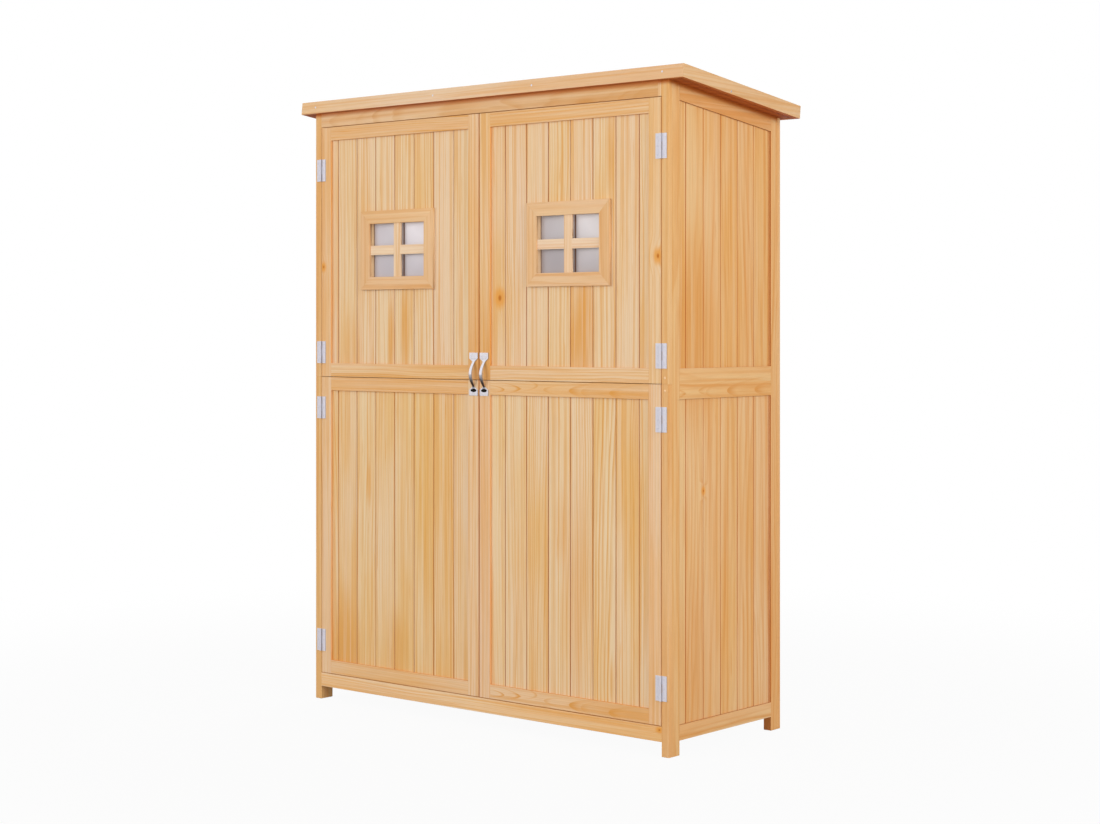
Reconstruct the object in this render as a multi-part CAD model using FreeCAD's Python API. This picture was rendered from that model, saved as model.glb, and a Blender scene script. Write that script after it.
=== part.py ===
import FreeCAD, Part
import math
import os

# A garden storage cabinet: framed panels of tongue-and-groove boards, two doors with windows,
# and a pent roof that falls to the back. Millimetres. X runs along the front to the right,
# Y runs from the front to the back, Z is up. While it is modelled, X = 0 is the middle of the
# front, Y = 0 is the face of the front posts and Z = 0 is the ground. The export moves the
# model so that the origin lies on the ground under the middle of its bounding box.

V = FreeCAD.Vector
DOWN_TO_THE_BACK = V(1, 0, 0)

# Body
BODY_WIDTH = 1214.0
BODY_DEPTH = 469.5
FRONT_HEIGHT = 1640.0
FOOT_HEIGHT = 35.0
BOTTOM_RAIL_HEIGHT = 37.0
POST_FACE = 22.0
POST_DEPTH = 12.0
HEADER_HEIGHT = 38.0
HEADER_FILLER_WIDTH = 10.4

# Tongue-and-groove boards and the frames that hold them
BOARD_PITCH = 71.5
BOARD_THICKNESS = 10.0
BOARD_RECESS = 5.0
BOARD_CHAMFER = 1.3
TONGUE_LENGTH = 4.0
TONGUE_THICKNESS = 3.0
TONGUE_CLEARANCE = 0.3
JOINT_GAP = 0.4
GROOVE_DEPTH = 8.0
GROOVE_END_CLEARANCE = 1.0

# Side panels
SIDE_STILE_WIDTH = 30.0
SIDE_MID_RAIL_HEIGHT = 73.5
SIDE_TOP_RAIL_HEIGHT = 40.0
SIDE_FIRST_BOARD = 30.8

# Back panel
BACK_FRAME_THICKNESS = 11.5
BACK_STILE_WIDTH = 30.0
BACK_TOP_RAIL_HEIGHT = 40.0
BACK_FIRST_BOARD = 48.0

# Doors
DOOR_THICKNESS = 20.0
DOOR_STILE_WIDTH = 37.0
DOOR_RAIL_HEIGHT = 36.5
LOWER_PANEL_HEIGHT = 810.3
PANEL_GAP = 1.4
DOOR_GAP = 1.5
HINGE_GAP = 1.5
MEETING_GAP = 2.5
LEFT_DOOR_FIRST_BOARD = 24.2
RIGHT_DOOR_FIRST_BOARD = 47.0

# Windows
WINDOW_WIDTH = 267.0
WINDOW_HEIGHT = 210.0
WINDOW_FRAME_WIDTH = 33.5
WINDOW_FRAME_PROUD = 2.0
WINDOW_FROM_MEETING_EDGE = 293.8
GLAZING_BAR_WIDTH = 25.0
GLAZING_BAR_THICKNESS = 6.0
GLAZING_BAR_SETBACK = 3.0
PANE_THICKNESS = 2.0
PANE_OVERLAP = 12.0

# Butt hinges
HINGE_HEIGHT = 60.0
HINGE_LEAF_WIDTH = 16.5
HINGE_LEAF_THICKNESS = 1.4
KNUCKLES_PER_HINGE = 3
KNUCKLE_RADIUS = 3.2
KNUCKLE_SIDES = 14
PIN_RADIUS = 1.5
PIN_CLEARANCE = 0.05
HINGE_RUNNING_GAP = 0.3
LOWER_HINGE_FROM_DOOR_BOTTOM = 89.0
HINGE_BELOW_SEAM = 84.5
HINGE_ABOVE_SEAM = 67.0
UPPER_HINGE_FROM_DOOR_TOP = 116.5

# Bow handles
HANDLE_LENGTH = 110.0
HANDLE_PLATE_WIDTH = 29.0
HANDLE_PLATE_HEIGHT = 14.5
HANDLE_PLATE_THICKNESS = 1.6
HANDLE_TAPER_HEIGHT = 8.5
HANDLE_NECK_WIDTH = 8.0
HANDLE_GRIP_WIDTH = 10.5
HANDLE_GRIP_THICKNESS = 5.5
HANDLE_PROJECTION = 17.0
HANDLE_FROM_MEETING_EDGE = 16.8
HANDLE_ABOVE_SEAM = 15.0
HANDLE_SLOT_LENGTH = 16.0
HANDLE_SLOT_HEIGHT = 6.5
HANDLE_SLOT_FROM_END = 13.4
HANDLE_GRIP_SECTIONS = 13
HANDLE_GRIP_SIDES = 12

# Joining plates across the seam at the back of each door
JOINING_PLATE_WIDTH = 20.0
JOINING_PLATE_LENGTH = 120.0
JOINING_PLATE_THICKNESS = 2.0

# Magnetic catches
CATCH_WIDTH = 40.0
CATCH_DEPTH = 14.0
CATCH_HEIGHT = 38.0
CATCH_NOSE_HEIGHT = 14.0
CATCH_FROM_MIDDLE = 30.0
CATCH_GAP = 0.3
STRIKE_WIDTH = 36.0
STRIKE_HEIGHT = 12.0
STRIKE_THICKNESS = 1.2
STRIKE_FROM_DOOR_TOP = 1.0

# Floor and shelf
FLOOR_BOARD_THICKNESS = 10.0
FLOOR_BOARDS = 5
FLOOR_ABOVE_DOOR_BOTTOM = 10.5
FLOOR_BATTEN_WIDTH = 25.0
FLOOR_BATTEN_HEIGHT = 25.0
FLOOR_SETBACK = 0.5
SHELF_BOARD_THICKNESS = 12.0
SHELF_BOARDS = 4
SHELF_SETBACK = 8.0
CLEAT_WIDTH = 20.0
CLEAT_HEIGHT = 25.0
LAID_BOARD_GAP = 2.0
LAID_BOARD_END_GAP = 0.5

# Roof
ROOF_SLOPE = 6.8
ROOF_FRONT_OVERHANG = 6.0
ROOF_BACK_OVERHANG = 22.0
ROOF_SIDE_OVERHANG = 48.0
FASCIA_HEIGHT = 33.0
FASCIA_THICKNESS = 12.0
FASCIA_LIP = 1.5
FELT_THICKNESS = 1.5
DECK_THICKNESS = 10.0
DECK_BOARDS = 5
ROOF_BATTEN_WIDTH = 46.0
MIDDLE_BATTEN_WIDTH = 40.0

# Places that follow from the sizes above
HALF_WIDTH = BODY_WIDTH / 2
INNER_HALF_WIDTH = HALF_WIDTH - POST_FACE
SLOPE = math.radians(ROOF_SLOPE)
BOARD_BACK = BOARD_RECESS + BOARD_THICKNESS
BACK_FRAME_FRONT = BODY_DEPTH - BACK_FRAME_THICKNESS
BACK_BOARDS_FRONT = BACK_FRAME_FRONT - BOARD_THICKNESS
BOTTOM_RAIL_TOP = FOOT_HEIGHT + BOTTOM_RAIL_HEIGHT
DOOR_BOTTOM = BOTTOM_RAIL_TOP + DOOR_GAP
LOWER_PANEL_TOP = DOOR_BOTTOM + LOWER_PANEL_HEIGHT
UPPER_PANEL_BOTTOM = LOWER_PANEL_TOP + PANEL_GAP
SEAM = LOWER_PANEL_TOP + PANEL_GAP / 2
SIDE_MID_RAIL_BOTTOM = SEAM - SIDE_MID_RAIL_HEIGHT / 2
SIDE_MID_RAIL_TOP = SEAM + SIDE_MID_RAIL_HEIGHT / 2
LEAF_WIDTH = INNER_HALF_WIDTH - HINGE_GAP - MEETING_GAP / 2
MEETING_EDGE = MEETING_GAP / 2
PIN_X = INNER_HALF_WIDTH - HINGE_GAP / 2
PIN_Y = -(KNUCKLE_RADIUS + HINGE_RUNNING_GAP)
FLOOR_TOP = DOOR_BOTTOM + FLOOR_ABOVE_DOOR_BOTTOM
FLOOR_FRONT = DOOR_THICKNESS + FLOOR_SETBACK
SHELF_UNDERSIDE = SEAM
SHELF_FRONT = DOOR_THICKNESS + SHELF_SETBACK


def roof_height(y, depth_below=0.0):
    """Z of the roof's top plane, or of a plane below it, above a place Y."""
    run = y + ROOF_FRONT_OVERHANG
    return FRONT_HEIGHT - run * math.tan(SLOPE) - depth_below / math.cos(SLOPE)


HEADER_BOTTOM = roof_height(0, FASCIA_HEIGHT) - HEADER_HEIGHT
DOOR_TOP = HEADER_BOTTOM - DOOR_GAP
ROOF_RUN = (ROOF_FRONT_OVERHANG + BODY_DEPTH + ROOF_BACK_OVERHANG) / math.cos(SLOPE)
ROOF_HALF_WIDTH = HALF_WIDTH + ROOF_SIDE_OVERHANG
ROOF_BACK_EDGE = BODY_DEPTH + ROOF_BACK_OVERHANG
ORIGIN_Y = (ROOF_BACK_EDGE - HANDLE_PROJECTION) / 2
WINDOW_MIDDLE_X = MEETING_EDGE + WINDOW_FROM_MEETING_EDGE
WINDOW_MIDDLE_Z = (UPPER_PANEL_BOTTOM + DOOR_TOP) / 2
HANDLE_X = MEETING_EDGE + HANDLE_FROM_MEETING_EDGE
HANDLE_Z = SEAM + HANDLE_ABOVE_SEAM
HINGE_MIDDLES = [
    DOOR_BOTTOM + LOWER_HINGE_FROM_DOOR_BOTTOM,
    SEAM - HINGE_BELOW_SEAM,
    SEAM + HINGE_ABOVE_SEAM,
    DOOR_TOP - UPPER_HINGE_FROM_DOOR_TOP,
]


def box(x0, x1, y0, y1, z0, z1):
    """A box between two corners."""
    return Part.makeBox(x1 - x0, y1 - y0, z1 - z0, V(x0, y0, z0))


def prism(points, direction):
    """A flat outline carried along a direction."""
    return Part.Face(Part.makePolygon(points + points[:1])).extrude(direction)


def mirrored(shape):
    """The same piece on the other side of the middle plane X = 0."""
    return shape.mirror(V(0, 0, 0), V(1, 0, 0))


def placed_on_roof(shape):
    """Move a shape from the roof's flat drawing to its sloping place.

    In the flat drawing Y = 0 and Z = 0 are the roof's front top edge.
    """
    shape.rotate(V(0, 0, 0), DOWN_TO_THE_BACK, -ROOF_SLOPE)
    shape.translate(V(0, -ROOF_FRONT_OVERHANG, FRONT_HEIGHT))
    return shape


def above_plane(depth_below):
    """Everything above a plane that lies parallel to the roof and below its top."""
    reach = BODY_WIDTH + BODY_DEPTH
    slab = Part.makeBox(2 * reach, 2 * reach, FRONT_HEIGHT, V(-reach, -reach, -depth_below))
    return placed_on_roof(slab)


def below_roof(shape, depth_below=FASCIA_HEIGHT):
    """Cut a piece off where it meets the roof's underside."""
    return shape.cut(above_plane(depth_below))


def solids_of(shapes):
    """All solids in a list of shapes."""
    return [solid for shape in shapes for solid in shape.Solids]


def board_section(left, right, joint_left, joint_right, front, back):
    """Outline of one board seen from above, with its tongue on the right.

    A board's side without a joint is plain. The visible corners at a joint are chamfered.
    """
    middle = (front + back) / 2
    inward = math.copysign(1, back - front)
    chamfer = inward * BOARD_CHAMFER
    tongue = inward * TONGUE_THICKNESS / 2
    groove = inward * (TONGUE_THICKNESS + TONGUE_CLEARANCE) / 2
    groove_depth = TONGUE_LENGTH + TONGUE_CLEARANCE
    points = []
    if joint_left:
        left += JOINT_GAP / 2
        points += [
            V(left, middle + groove, 0),
            V(left + groove_depth, middle + groove, 0),
            V(left + groove_depth, middle - groove, 0),
            V(left, middle - groove, 0),
            V(left, front + chamfer, 0),
            V(left + BOARD_CHAMFER, front, 0),
        ]
    else:
        points += [V(left, front, 0)]
    if joint_right:
        right -= JOINT_GAP / 2
        points += [
            V(right - BOARD_CHAMFER, front, 0),
            V(right, front + chamfer, 0),
            V(right, middle - tongue, 0),
            V(right + TONGUE_LENGTH, middle - tongue, 0),
            V(right + TONGUE_LENGTH, middle + tongue, 0),
            V(right, middle + tongue, 0),
        ]
    else:
        points += [V(right, front, 0)]
    points += [V(right, back, 0), V(left, back, 0)]
    return points


def boards(left, right, first_joint, last_visible, bottom, top, front, back):
    """A row of boards from left to right, with joints at the board pitch."""
    joints = []
    joint = first_joint
    while joint < last_visible:
        joints.append(joint)
        joint += BOARD_PITCH
    ends = [left] + joints + [min(right, joint)]
    row = []
    for start, end in zip(ends, ends[1:]):
        outline = board_section(start, end, start != left, end != ends[-1], front, back)
        board = prism(outline, V(0, 0, top - bottom))
        board.translate(V(0, 0, bottom))
        row.append(board)
    return row


def groove_box(x0, x1, z0, z1):
    """The space of the groove that holds the boards, or of a tenon in it."""
    return box(x0, x1, BOARD_RECESS, BOARD_BACK, z0, z1)


def grooved_stile(left, right, thickness, bottom, top, groove_bottom, groove_top, groove_on_right):
    """An upright frame member with a groove along its inner edge."""
    stile = box(left, right, 0, thickness, bottom, top)
    if groove_on_right:
        return stile.cut(groove_box(right - GROOVE_DEPTH, right, groove_bottom, groove_top))
    return stile.cut(groove_box(left, left + GROOVE_DEPTH, groove_bottom, groove_top))


def grooved_rail(left, right, thickness, bottom, top, groove_below, groove_above):
    """A level frame member between two stiles, with a stub tenon in each stile's groove."""
    tenon = GROOVE_DEPTH - GROOVE_END_CLEARANCE
    rail = box(left, right, 0, thickness, bottom, top)
    rail = rail.fuse(groove_box(left - tenon, right + tenon, bottom, top))
    if groove_below:
        rail = rail.cut(groove_box(left - tenon, right + tenon, bottom, bottom + GROOVE_DEPTH))
    if groove_above:
        rail = rail.cut(groove_box(left - tenon, right + tenon, top - GROOVE_DEPTH, top))
    return rail


def front_posts():
    """Front posts, split level with the seam of the doors. Their lower ends are feet."""
    lower = box(INNER_HALF_WIDTH, HALF_WIDTH, 0, POST_DEPTH, 0, SEAM)
    upper = below_roof(box(INNER_HALF_WIDTH, HALF_WIDTH, 0, POST_DEPTH, SEAM, FRONT_HEIGHT))
    return {
        "right_front_post_lower": [lower],
        "right_front_post_upper": [upper],
        "left_front_post_lower": [mirrored(lower)],
        "left_front_post_upper": [mirrored(upper)],
    }


def front_rails():
    """Header with its filler strip, and the rail below the doors."""
    joint = INNER_HALF_WIDTH - HEADER_FILLER_WIDTH
    header = box(-INNER_HALF_WIDTH, joint, 0, DOOR_THICKNESS, HEADER_BOTTOM, FRONT_HEIGHT)
    filler = box(joint, INNER_HALF_WIDTH, 0, DOOR_THICKNESS, HEADER_BOTTOM, FRONT_HEIGHT)
    bottom = box(
        -INNER_HALF_WIDTH, INNER_HALF_WIDTH, 0, DOOR_THICKNESS, FOOT_HEIGHT, BOTTOM_RAIL_TOP
    )
    return {
        "front_header_rail": [below_roof(header)],
        "front_header_filler": [below_roof(filler)],
        "front_bottom_rail": [bottom],
    }


def sloping_rail(left, right):
    """Top rail of a side panel, parallel to the roof, with a groove along its lower edge."""
    tenon = GROOVE_DEPTH - GROOVE_END_CLEARANCE
    rail = box(left, right, 0, POST_FACE, SEAM, FRONT_HEIGHT)
    rail = rail.fuse(groove_box(left - tenon, right + tenon, SEAM, FRONT_HEIGHT))
    return rail


def to_right_side(shape):
    """Turn a panel that was drawn face to the front so that it faces right."""
    shape.rotate(V(0, 0, 0), V(0, 0, 1), 90)
    shape.translate(V(HALF_WIDTH, 0, 0))
    return shape


def cut_between(shape, upper_depth, lower_depth):
    """Keep what lies between two planes parallel to the roof."""
    return shape.cut(above_plane(upper_depth)).common(above_plane(lower_depth))


def side_panels():
    """Both side panels, drawn once as the right one with its outer face at the front."""
    front = POST_DEPTH
    back = BACK_FRAME_FRONT
    left = front + SIDE_STILE_WIDTH
    right = back - SIDE_STILE_WIDTH
    rail_underside = FASCIA_HEIGHT + SIDE_TOP_RAIL_HEIGHT
    hidden = GROOVE_DEPTH - GROOVE_END_CLEARANCE

    def stile(x0, x1, groove_on_right):
        piece = grooved_stile(
            x0, x1, POST_FACE, 0, FRONT_HEIGHT, FOOT_HEIGHT, FRONT_HEIGHT, groove_on_right
        )
        return below_roof(to_right_side(piece))

    def panel_boards(bottom, top, depth_below):
        row = boards(
            left - hidden, right + hidden, left + SIDE_FIRST_BOARD, right,
            bottom, top, BOARD_RECESS, BOARD_BACK,
        )
        return [below_roof(to_right_side(board), depth_below) for board in row]

    bottom_rail = grooved_rail(
        left, right, POST_FACE, FOOT_HEIGHT, BOTTOM_RAIL_TOP, False, True
    )
    middle_rail = grooved_rail(
        left, right, POST_FACE, SIDE_MID_RAIL_BOTTOM, SIDE_MID_RAIL_TOP, True, True
    )
    top_rail = cut_between(
        to_right_side(sloping_rail(left, right)), FASCIA_HEIGHT, rail_underside
    )
    groove = to_right_side(groove_box(left - hidden, right + hidden, SEAM, FRONT_HEIGHT))
    top_rail = top_rail.cut(cut_between(groove, rail_underside - GROOVE_DEPTH, rail_underside))

    right_side = {
        "side_stiles": [stile(front, left, True), stile(right, back, False)],
        "side_rails": [to_right_side(bottom_rail), to_right_side(middle_rail), top_rail],
        "side_lower_boards": panel_boards(
            BOTTOM_RAIL_TOP - hidden, SIDE_MID_RAIL_BOTTOM + hidden, FASCIA_HEIGHT
        ),
        "side_upper_boards": panel_boards(
            SIDE_MID_RAIL_TOP - hidden, FRONT_HEIGHT, rail_underside - hidden
        ),
    }
    nodes = {}
    for name, shapes in right_side.items():
        nodes["right_" + name] = shapes
        nodes["left_" + name] = [mirrored(shape) for shape in shapes]
    return nodes


def back_panel():
    """Back frame with full-height boards behind it. The chamfered faces look to the back."""
    rail_end = HALF_WIDTH - BACK_STILE_WIDTH
    rail_underside = FASCIA_HEIGHT + BACK_TOP_RAIL_HEIGHT
    stile = below_roof(
        box(rail_end, HALF_WIDTH, BACK_FRAME_FRONT, BODY_DEPTH, 0, FRONT_HEIGHT)
    )

    def rail(bottom, top):
        return box(-rail_end, rail_end, BACK_FRAME_FRONT, BODY_DEPTH, bottom, top)

    top_rail = cut_between(rail(SEAM, FRONT_HEIGHT), FASCIA_HEIGHT, rail_underside)
    row = boards(
        -INNER_HALF_WIDTH, INNER_HALF_WIDTH, -rail_end + BACK_FIRST_BOARD, INNER_HALF_WIDTH,
        FOOT_HEIGHT, FRONT_HEIGHT, BACK_FRAME_FRONT, BACK_BOARDS_FRONT,
    )
    return {
        "back_stiles": [stile, mirrored(stile)],
        "back_rails": [
            rail(FOOT_HEIGHT, BOTTOM_RAIL_TOP),
            rail(SIDE_MID_RAIL_BOTTOM, SIDE_MID_RAIL_TOP),
            top_rail,
        ],
        "back_boards": [below_roof(board) for board in row],
    }


def laid_boards(count, front, back, bottom, thickness):
    """Level boards laid side by side across the cabinet, for the floor or the shelf."""
    half = INNER_HALF_WIDTH - LAID_BOARD_END_GAP
    pitch = (back - front + LAID_BOARD_GAP) / count
    row = []
    for index in range(count):
        start = front + index * pitch
        row.append(
            box(-half, half, start, start + pitch - LAID_BOARD_GAP, bottom, bottom + thickness)
        )
    return row


def floor():
    """Floor boards on three battens that run from front to back."""
    boards_bottom = FLOOR_TOP - FLOOR_BOARD_THICKNESS
    battens_bottom = boards_bottom - FLOOR_BATTEN_HEIGHT
    battens = []
    for left in (
        -INNER_HALF_WIDTH,
        -FLOOR_BATTEN_WIDTH / 2,
        INNER_HALF_WIDTH - FLOOR_BATTEN_WIDTH,
    ):
        battens.append(
            box(
                left, left + FLOOR_BATTEN_WIDTH, DOOR_THICKNESS, BACK_BOARDS_FRONT,
                battens_bottom, boards_bottom,
            )
        )
    return {
        "floor_boards": laid_boards(
            FLOOR_BOARDS, FLOOR_FRONT, BACK_BOARDS_FRONT, boards_bottom, FLOOR_BOARD_THICKNESS
        ),
        "floor_battens": battens,
    }


def shelf():
    """Shelf boards on two side cleats and one back cleat."""
    cleats_bottom = SHELF_UNDERSIDE - CLEAT_HEIGHT
    side_inner = INNER_HALF_WIDTH - CLEAT_WIDTH
    side = box(
        side_inner, INNER_HALF_WIDTH, SHELF_FRONT, BACK_BOARDS_FRONT, cleats_bottom, SHELF_UNDERSIDE
    )
    back = box(
        -side_inner, side_inner, BACK_BOARDS_FRONT - CLEAT_WIDTH, BACK_BOARDS_FRONT,
        cleats_bottom, SHELF_UNDERSIDE,
    )
    return {
        "shelf_boards": laid_boards(
            SHELF_BOARDS, SHELF_FRONT, BACK_BOARDS_FRONT, SHELF_UNDERSIDE, SHELF_BOARD_THICKNESS
        ),
        "shelf_cleats": [side, mirrored(side), back],
    }


def fascia_board(start, end, inner_end, inner_start):
    """One fascia board with mitred ends, from its four corners seen from above."""
    outline = [V(x, y, -FASCIA_HEIGHT) for x, y in (start, end, inner_end, inner_start)]
    return placed_on_roof(prism(outline, V(0, 0, FASCIA_HEIGHT)))


def roof():
    """Pent roof: mitred fascia boards round a deck on battens, with felt on top."""
    outer = ROOF_HALF_WIDTH
    inner = outer - FASCIA_THICKNESS
    near = FASCIA_THICKNESS
    far = ROOF_RUN - FASCIA_THICKNESS
    right_fascia = fascia_board((outer, 0), (outer, ROOF_RUN), (inner, far), (inner, near))

    felt_top = -FASCIA_LIP
    deck_top = felt_top - FELT_THICKNESS
    deck_bottom = deck_top - DECK_THICKNESS
    batten_ends = (near + ROOF_BATTEN_WIDTH, far - ROOF_BATTEN_WIDTH)

    def batten(x0, x1, y0, y1):
        return placed_on_roof(box(x0, x1, y0, y1, -FASCIA_HEIGHT, deck_bottom))

    side_batten = batten(inner - ROOF_BATTEN_WIDTH, inner, *batten_ends)
    middle = MIDDLE_BATTEN_WIDTH / 2
    pitch = (far - near) / DECK_BOARDS
    deck = []
    for index in range(DECK_BOARDS):
        start = near + index * pitch
        deck.append(
            placed_on_roof(
                box(-inner, inner, start, start + pitch - JOINT_GAP, deck_bottom, deck_top)
            )
        )
    return {
        "roof_front_fascia": [fascia_board((-outer, 0), (outer, 0), (inner, near), (-inner, near))],
        "roof_back_fascia": [
            fascia_board((outer, ROOF_RUN), (-outer, ROOF_RUN), (-inner, far), (inner, far))
        ],
        "roof_right_fascia": [right_fascia],
        "roof_left_fascia": [mirrored(right_fascia)],
        "roof_battens": [
            batten(-inner, inner, near, batten_ends[0]),
            batten(-inner, inner, batten_ends[1], far),
            side_batten,
            mirrored(side_batten),
            batten(-middle, middle, *batten_ends),
        ],
        "roof_deck": deck,
        "roof_felt": [placed_on_roof(box(-inner, inner, near, far, deck_top, felt_top))],
    }


def door_panel(left, first_board, bottom, top):
    """One framed door panel: stiles, rails and boards. The panel's left edge is at X = left."""
    right = left + LEAF_WIDTH
    inner_left = left + DOOR_STILE_WIDTH
    inner_right = right - DOOR_STILE_WIDTH
    inner_bottom = bottom + DOOR_RAIL_HEIGHT
    inner_top = top - DOOR_RAIL_HEIGHT
    hidden = GROOVE_DEPTH - GROOVE_END_CLEARANCE
    stiles = [
        grooved_stile(left, inner_left, DOOR_THICKNESS, bottom, top, bottom, top, True),
        grooved_stile(inner_right, right, DOOR_THICKNESS, bottom, top, bottom, top, False),
    ]
    rails = [
        grooved_rail(inner_left, inner_right, DOOR_THICKNESS, bottom, inner_bottom, False, True),
        grooved_rail(inner_left, inner_right, DOOR_THICKNESS, inner_top, top, True, False),
    ]
    row = boards(
        inner_left - hidden, inner_right + hidden, inner_left + first_board, inner_right,
        inner_bottom - hidden, inner_top + hidden, BOARD_RECESS, BOARD_BACK,
    )
    return stiles, rails, row


def window_opening(middle):
    """Corners of the clear opening inside a window frame."""
    half_width = WINDOW_WIDTH / 2 - WINDOW_FRAME_WIDTH
    half_height = WINDOW_HEIGHT / 2 - WINDOW_FRAME_WIDTH
    return (
        middle - half_width, middle + half_width,
        WINDOW_MIDDLE_Z - half_height, WINDOW_MIDDLE_Z + half_height,
    )


def window(middle):
    """Mitred frame on the face of the boards, crossed glazing bars, and a pane behind."""
    x0, x1, z0, z1 = window_opening(middle)
    wide = WINDOW_FRAME_WIDTH
    front = -WINDOW_FRAME_PROUD
    depth = V(0, BOARD_RECESS - front, 0)

    def member(corners):
        return prism([V(x, front, z) for x, z in corners], depth)

    bottom = member([(x0 - wide, z0 - wide), (x1 + wide, z0 - wide), (x1, z0), (x0, z0)])
    top = member([(x0, z1), (x1, z1), (x1 + wide, z1 + wide), (x0 - wide, z1 + wide)])
    left = member([(x0 - wide, z0 - wide), (x0, z0), (x0, z1), (x0 - wide, z1 + wide)])
    right = member([(x1, z0), (x1 + wide, z0 - wide), (x1 + wide, z1 + wide), (x1, z1)])

    bar_front = front + GLAZING_BAR_SETBACK
    bar_back = bar_front + GLAZING_BAR_THICKNESS
    bar_middle = (bar_front + bar_back) / 2
    half = GLAZING_BAR_WIDTH / 2
    crossing = (middle - half, middle + half, WINDOW_MIDDLE_Z - half, WINDOW_MIDDLE_Z + half)
    upright = box(middle - half, middle + half, bar_front, bar_back, z0, z1)
    level = box(x0, x1, bar_front, bar_back, WINDOW_MIDDLE_Z - half, WINDOW_MIDDLE_Z + half)
    upright = upright.cut(
        box(crossing[0], crossing[1], bar_middle, bar_back, crossing[2], crossing[3])
    )
    level = level.cut(
        box(crossing[0], crossing[1], bar_front, bar_middle, crossing[2], crossing[3])
    )
    pane = box(
        x0 - PANE_OVERLAP, x1 + PANE_OVERLAP, BOARD_BACK, BOARD_BACK + PANE_THICKNESS,
        z0 - PANE_OVERLAP, z1 + PANE_OVERLAP,
    )
    return [bottom, top, left, right], [upright, level], pane


def handle_outline(end):
    """Flat end plate of a handle, narrowing to the neck. end is +1 at the top, -1 below."""
    tip = end * HANDLE_LENGTH / 2
    shoulder = tip - end * HANDLE_PLATE_HEIGHT
    neck = shoulder - end * HANDLE_TAPER_HEIGHT
    wide = HANDLE_PLATE_WIDTH / 2
    narrow = HANDLE_NECK_WIDTH / 2
    outline = [
        V(-wide, 0, tip), V(wide, 0, tip), V(wide, 0, shoulder),
        V(narrow, 0, neck), V(-narrow, 0, neck), V(-wide, 0, shoulder),
    ]
    plate = prism(outline, V(0, -HANDLE_PLATE_THICKNESS, 0))
    return plate.cut(handle_slot(tip - end * HANDLE_SLOT_FROM_END))


def handle_slot(height):
    """Oval screw slot through a handle's end plate."""
    radius = HANDLE_SLOT_HEIGHT / 2
    reach = HANDLE_SLOT_LENGTH / 2 - radius
    depth = 2 * HANDLE_PLATE_THICKNESS
    slot = box(-reach, reach, -depth, 0, height - radius, height + radius)
    for x in (-reach, reach):
        slot = slot.fuse(Part.makeCylinder(radius, depth, V(x, 0, height), V(0, -1, 0)))
    return slot


def handle_grip():
    """The bowed grip: a loft through oval sections that stand square to a cosine curve."""
    neck = HANDLE_LENGTH / 2 - HANDLE_PLATE_HEIGHT - HANDLE_TAPER_HEIGHT
    reach = neck + HANDLE_PLATE_THICKNESS
    base = HANDLE_PLATE_THICKNESS / 2
    bow = HANDLE_PROJECTION - HANDLE_GRIP_THICKNESS / 2 - base
    sections = []
    for index in range(HANDLE_GRIP_SECTIONS):
        share = 2 * index / (HANDLE_GRIP_SECTIONS - 1) - 1
        phase = share * math.pi / 2
        rise = math.cos(phase)
        tilt = math.atan(bow * math.sin(phase) * math.pi / 2 / reach)
        half_width = (HANDLE_NECK_WIDTH + (HANDLE_GRIP_WIDTH - HANDLE_NECK_WIDTH) * rise) / 2
        half_thickness = base + (HANDLE_GRIP_THICKNESS / 2 - base) * rise
        corners = []
        for corner in range(HANDLE_GRIP_SIDES):
            angle = 2 * math.pi * corner / HANDLE_GRIP_SIDES
            out = half_thickness * math.sin(angle)
            y = -base - bow * rise - out * math.cos(tilt)
            z = reach * share + out * math.sin(tilt)
            corners.append(V(half_width * math.cos(angle), y, z))
        sections.append(Part.makePolygon(corners + corners[:1]))
    return Part.makeLoft(sections, True, True)


def handle():
    """A bow handle, screwed across the seam so that it ties the door's two panels."""
    return handle_outline(1).fuse([handle_outline(-1), handle_grip()]).removeSplitter()


def knuckles(first):
    """Z ranges of every other knuckle of a hinge, from the first, counted from below."""
    room = HINGE_HEIGHT - (KNUCKLES_PER_HINGE - 1) * HINGE_RUNNING_GAP
    length = room / KNUCKLES_PER_HINGE
    ranges = []
    for index in range(first, KNUCKLES_PER_HINGE, 2):
        bottom = -HINGE_HEIGHT / 2 + index * (length + HINGE_RUNNING_GAP)
        ranges.append((bottom, bottom + length))
    return ranges


def barrel(bottom, top):
    """Outside of one knuckle, with narrow flats in place of a round wall."""
    corners = []
    for corner in range(KNUCKLE_SIDES):
        angle = 2 * math.pi * corner / KNUCKLE_SIDES
        x = KNUCKLE_RADIUS * math.cos(angle)
        y = KNUCKLE_RADIUS * math.sin(angle)
        corners.append(V(x, y, bottom))
    return prism(corners, V(0, 0, top - bottom))


def hinge_leaf(side, own, other):
    """One leaf with its knuckles. side is +1 where the leaf lies at greater X than the pin."""
    reach = side * HINGE_LEAF_WIDTH
    leaf = box(
        min(0, reach), max(0, reach), -PIN_Y - HINGE_LEAF_THICKNESS, -PIN_Y,
        -HINGE_HEIGHT / 2, HINGE_HEIGHT / 2,
    )
    room = KNUCKLE_RADIUS + HINGE_RUNNING_GAP
    for bottom, top in other:
        leaf = leaf.cut(
            box(-room, room, -room, 2 * room, bottom - HINGE_RUNNING_GAP, top + HINGE_RUNNING_GAP)
        )
    for bottom, top in own:
        leaf = leaf.fuse(barrel(bottom, top))
    bore = Part.makeCylinder(
        PIN_RADIUS + PIN_CLEARANCE, HINGE_HEIGHT, V(0, 0, -HINGE_HEIGHT / 2)
    )
    return leaf.cut(bore)


def hinge_pin():
    """Hinge pin, flush with the ends of the knuckles."""
    return Part.makeCylinder(PIN_RADIUS, HINGE_HEIGHT, V(0, 0, -HINGE_HEIGHT / 2))


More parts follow.
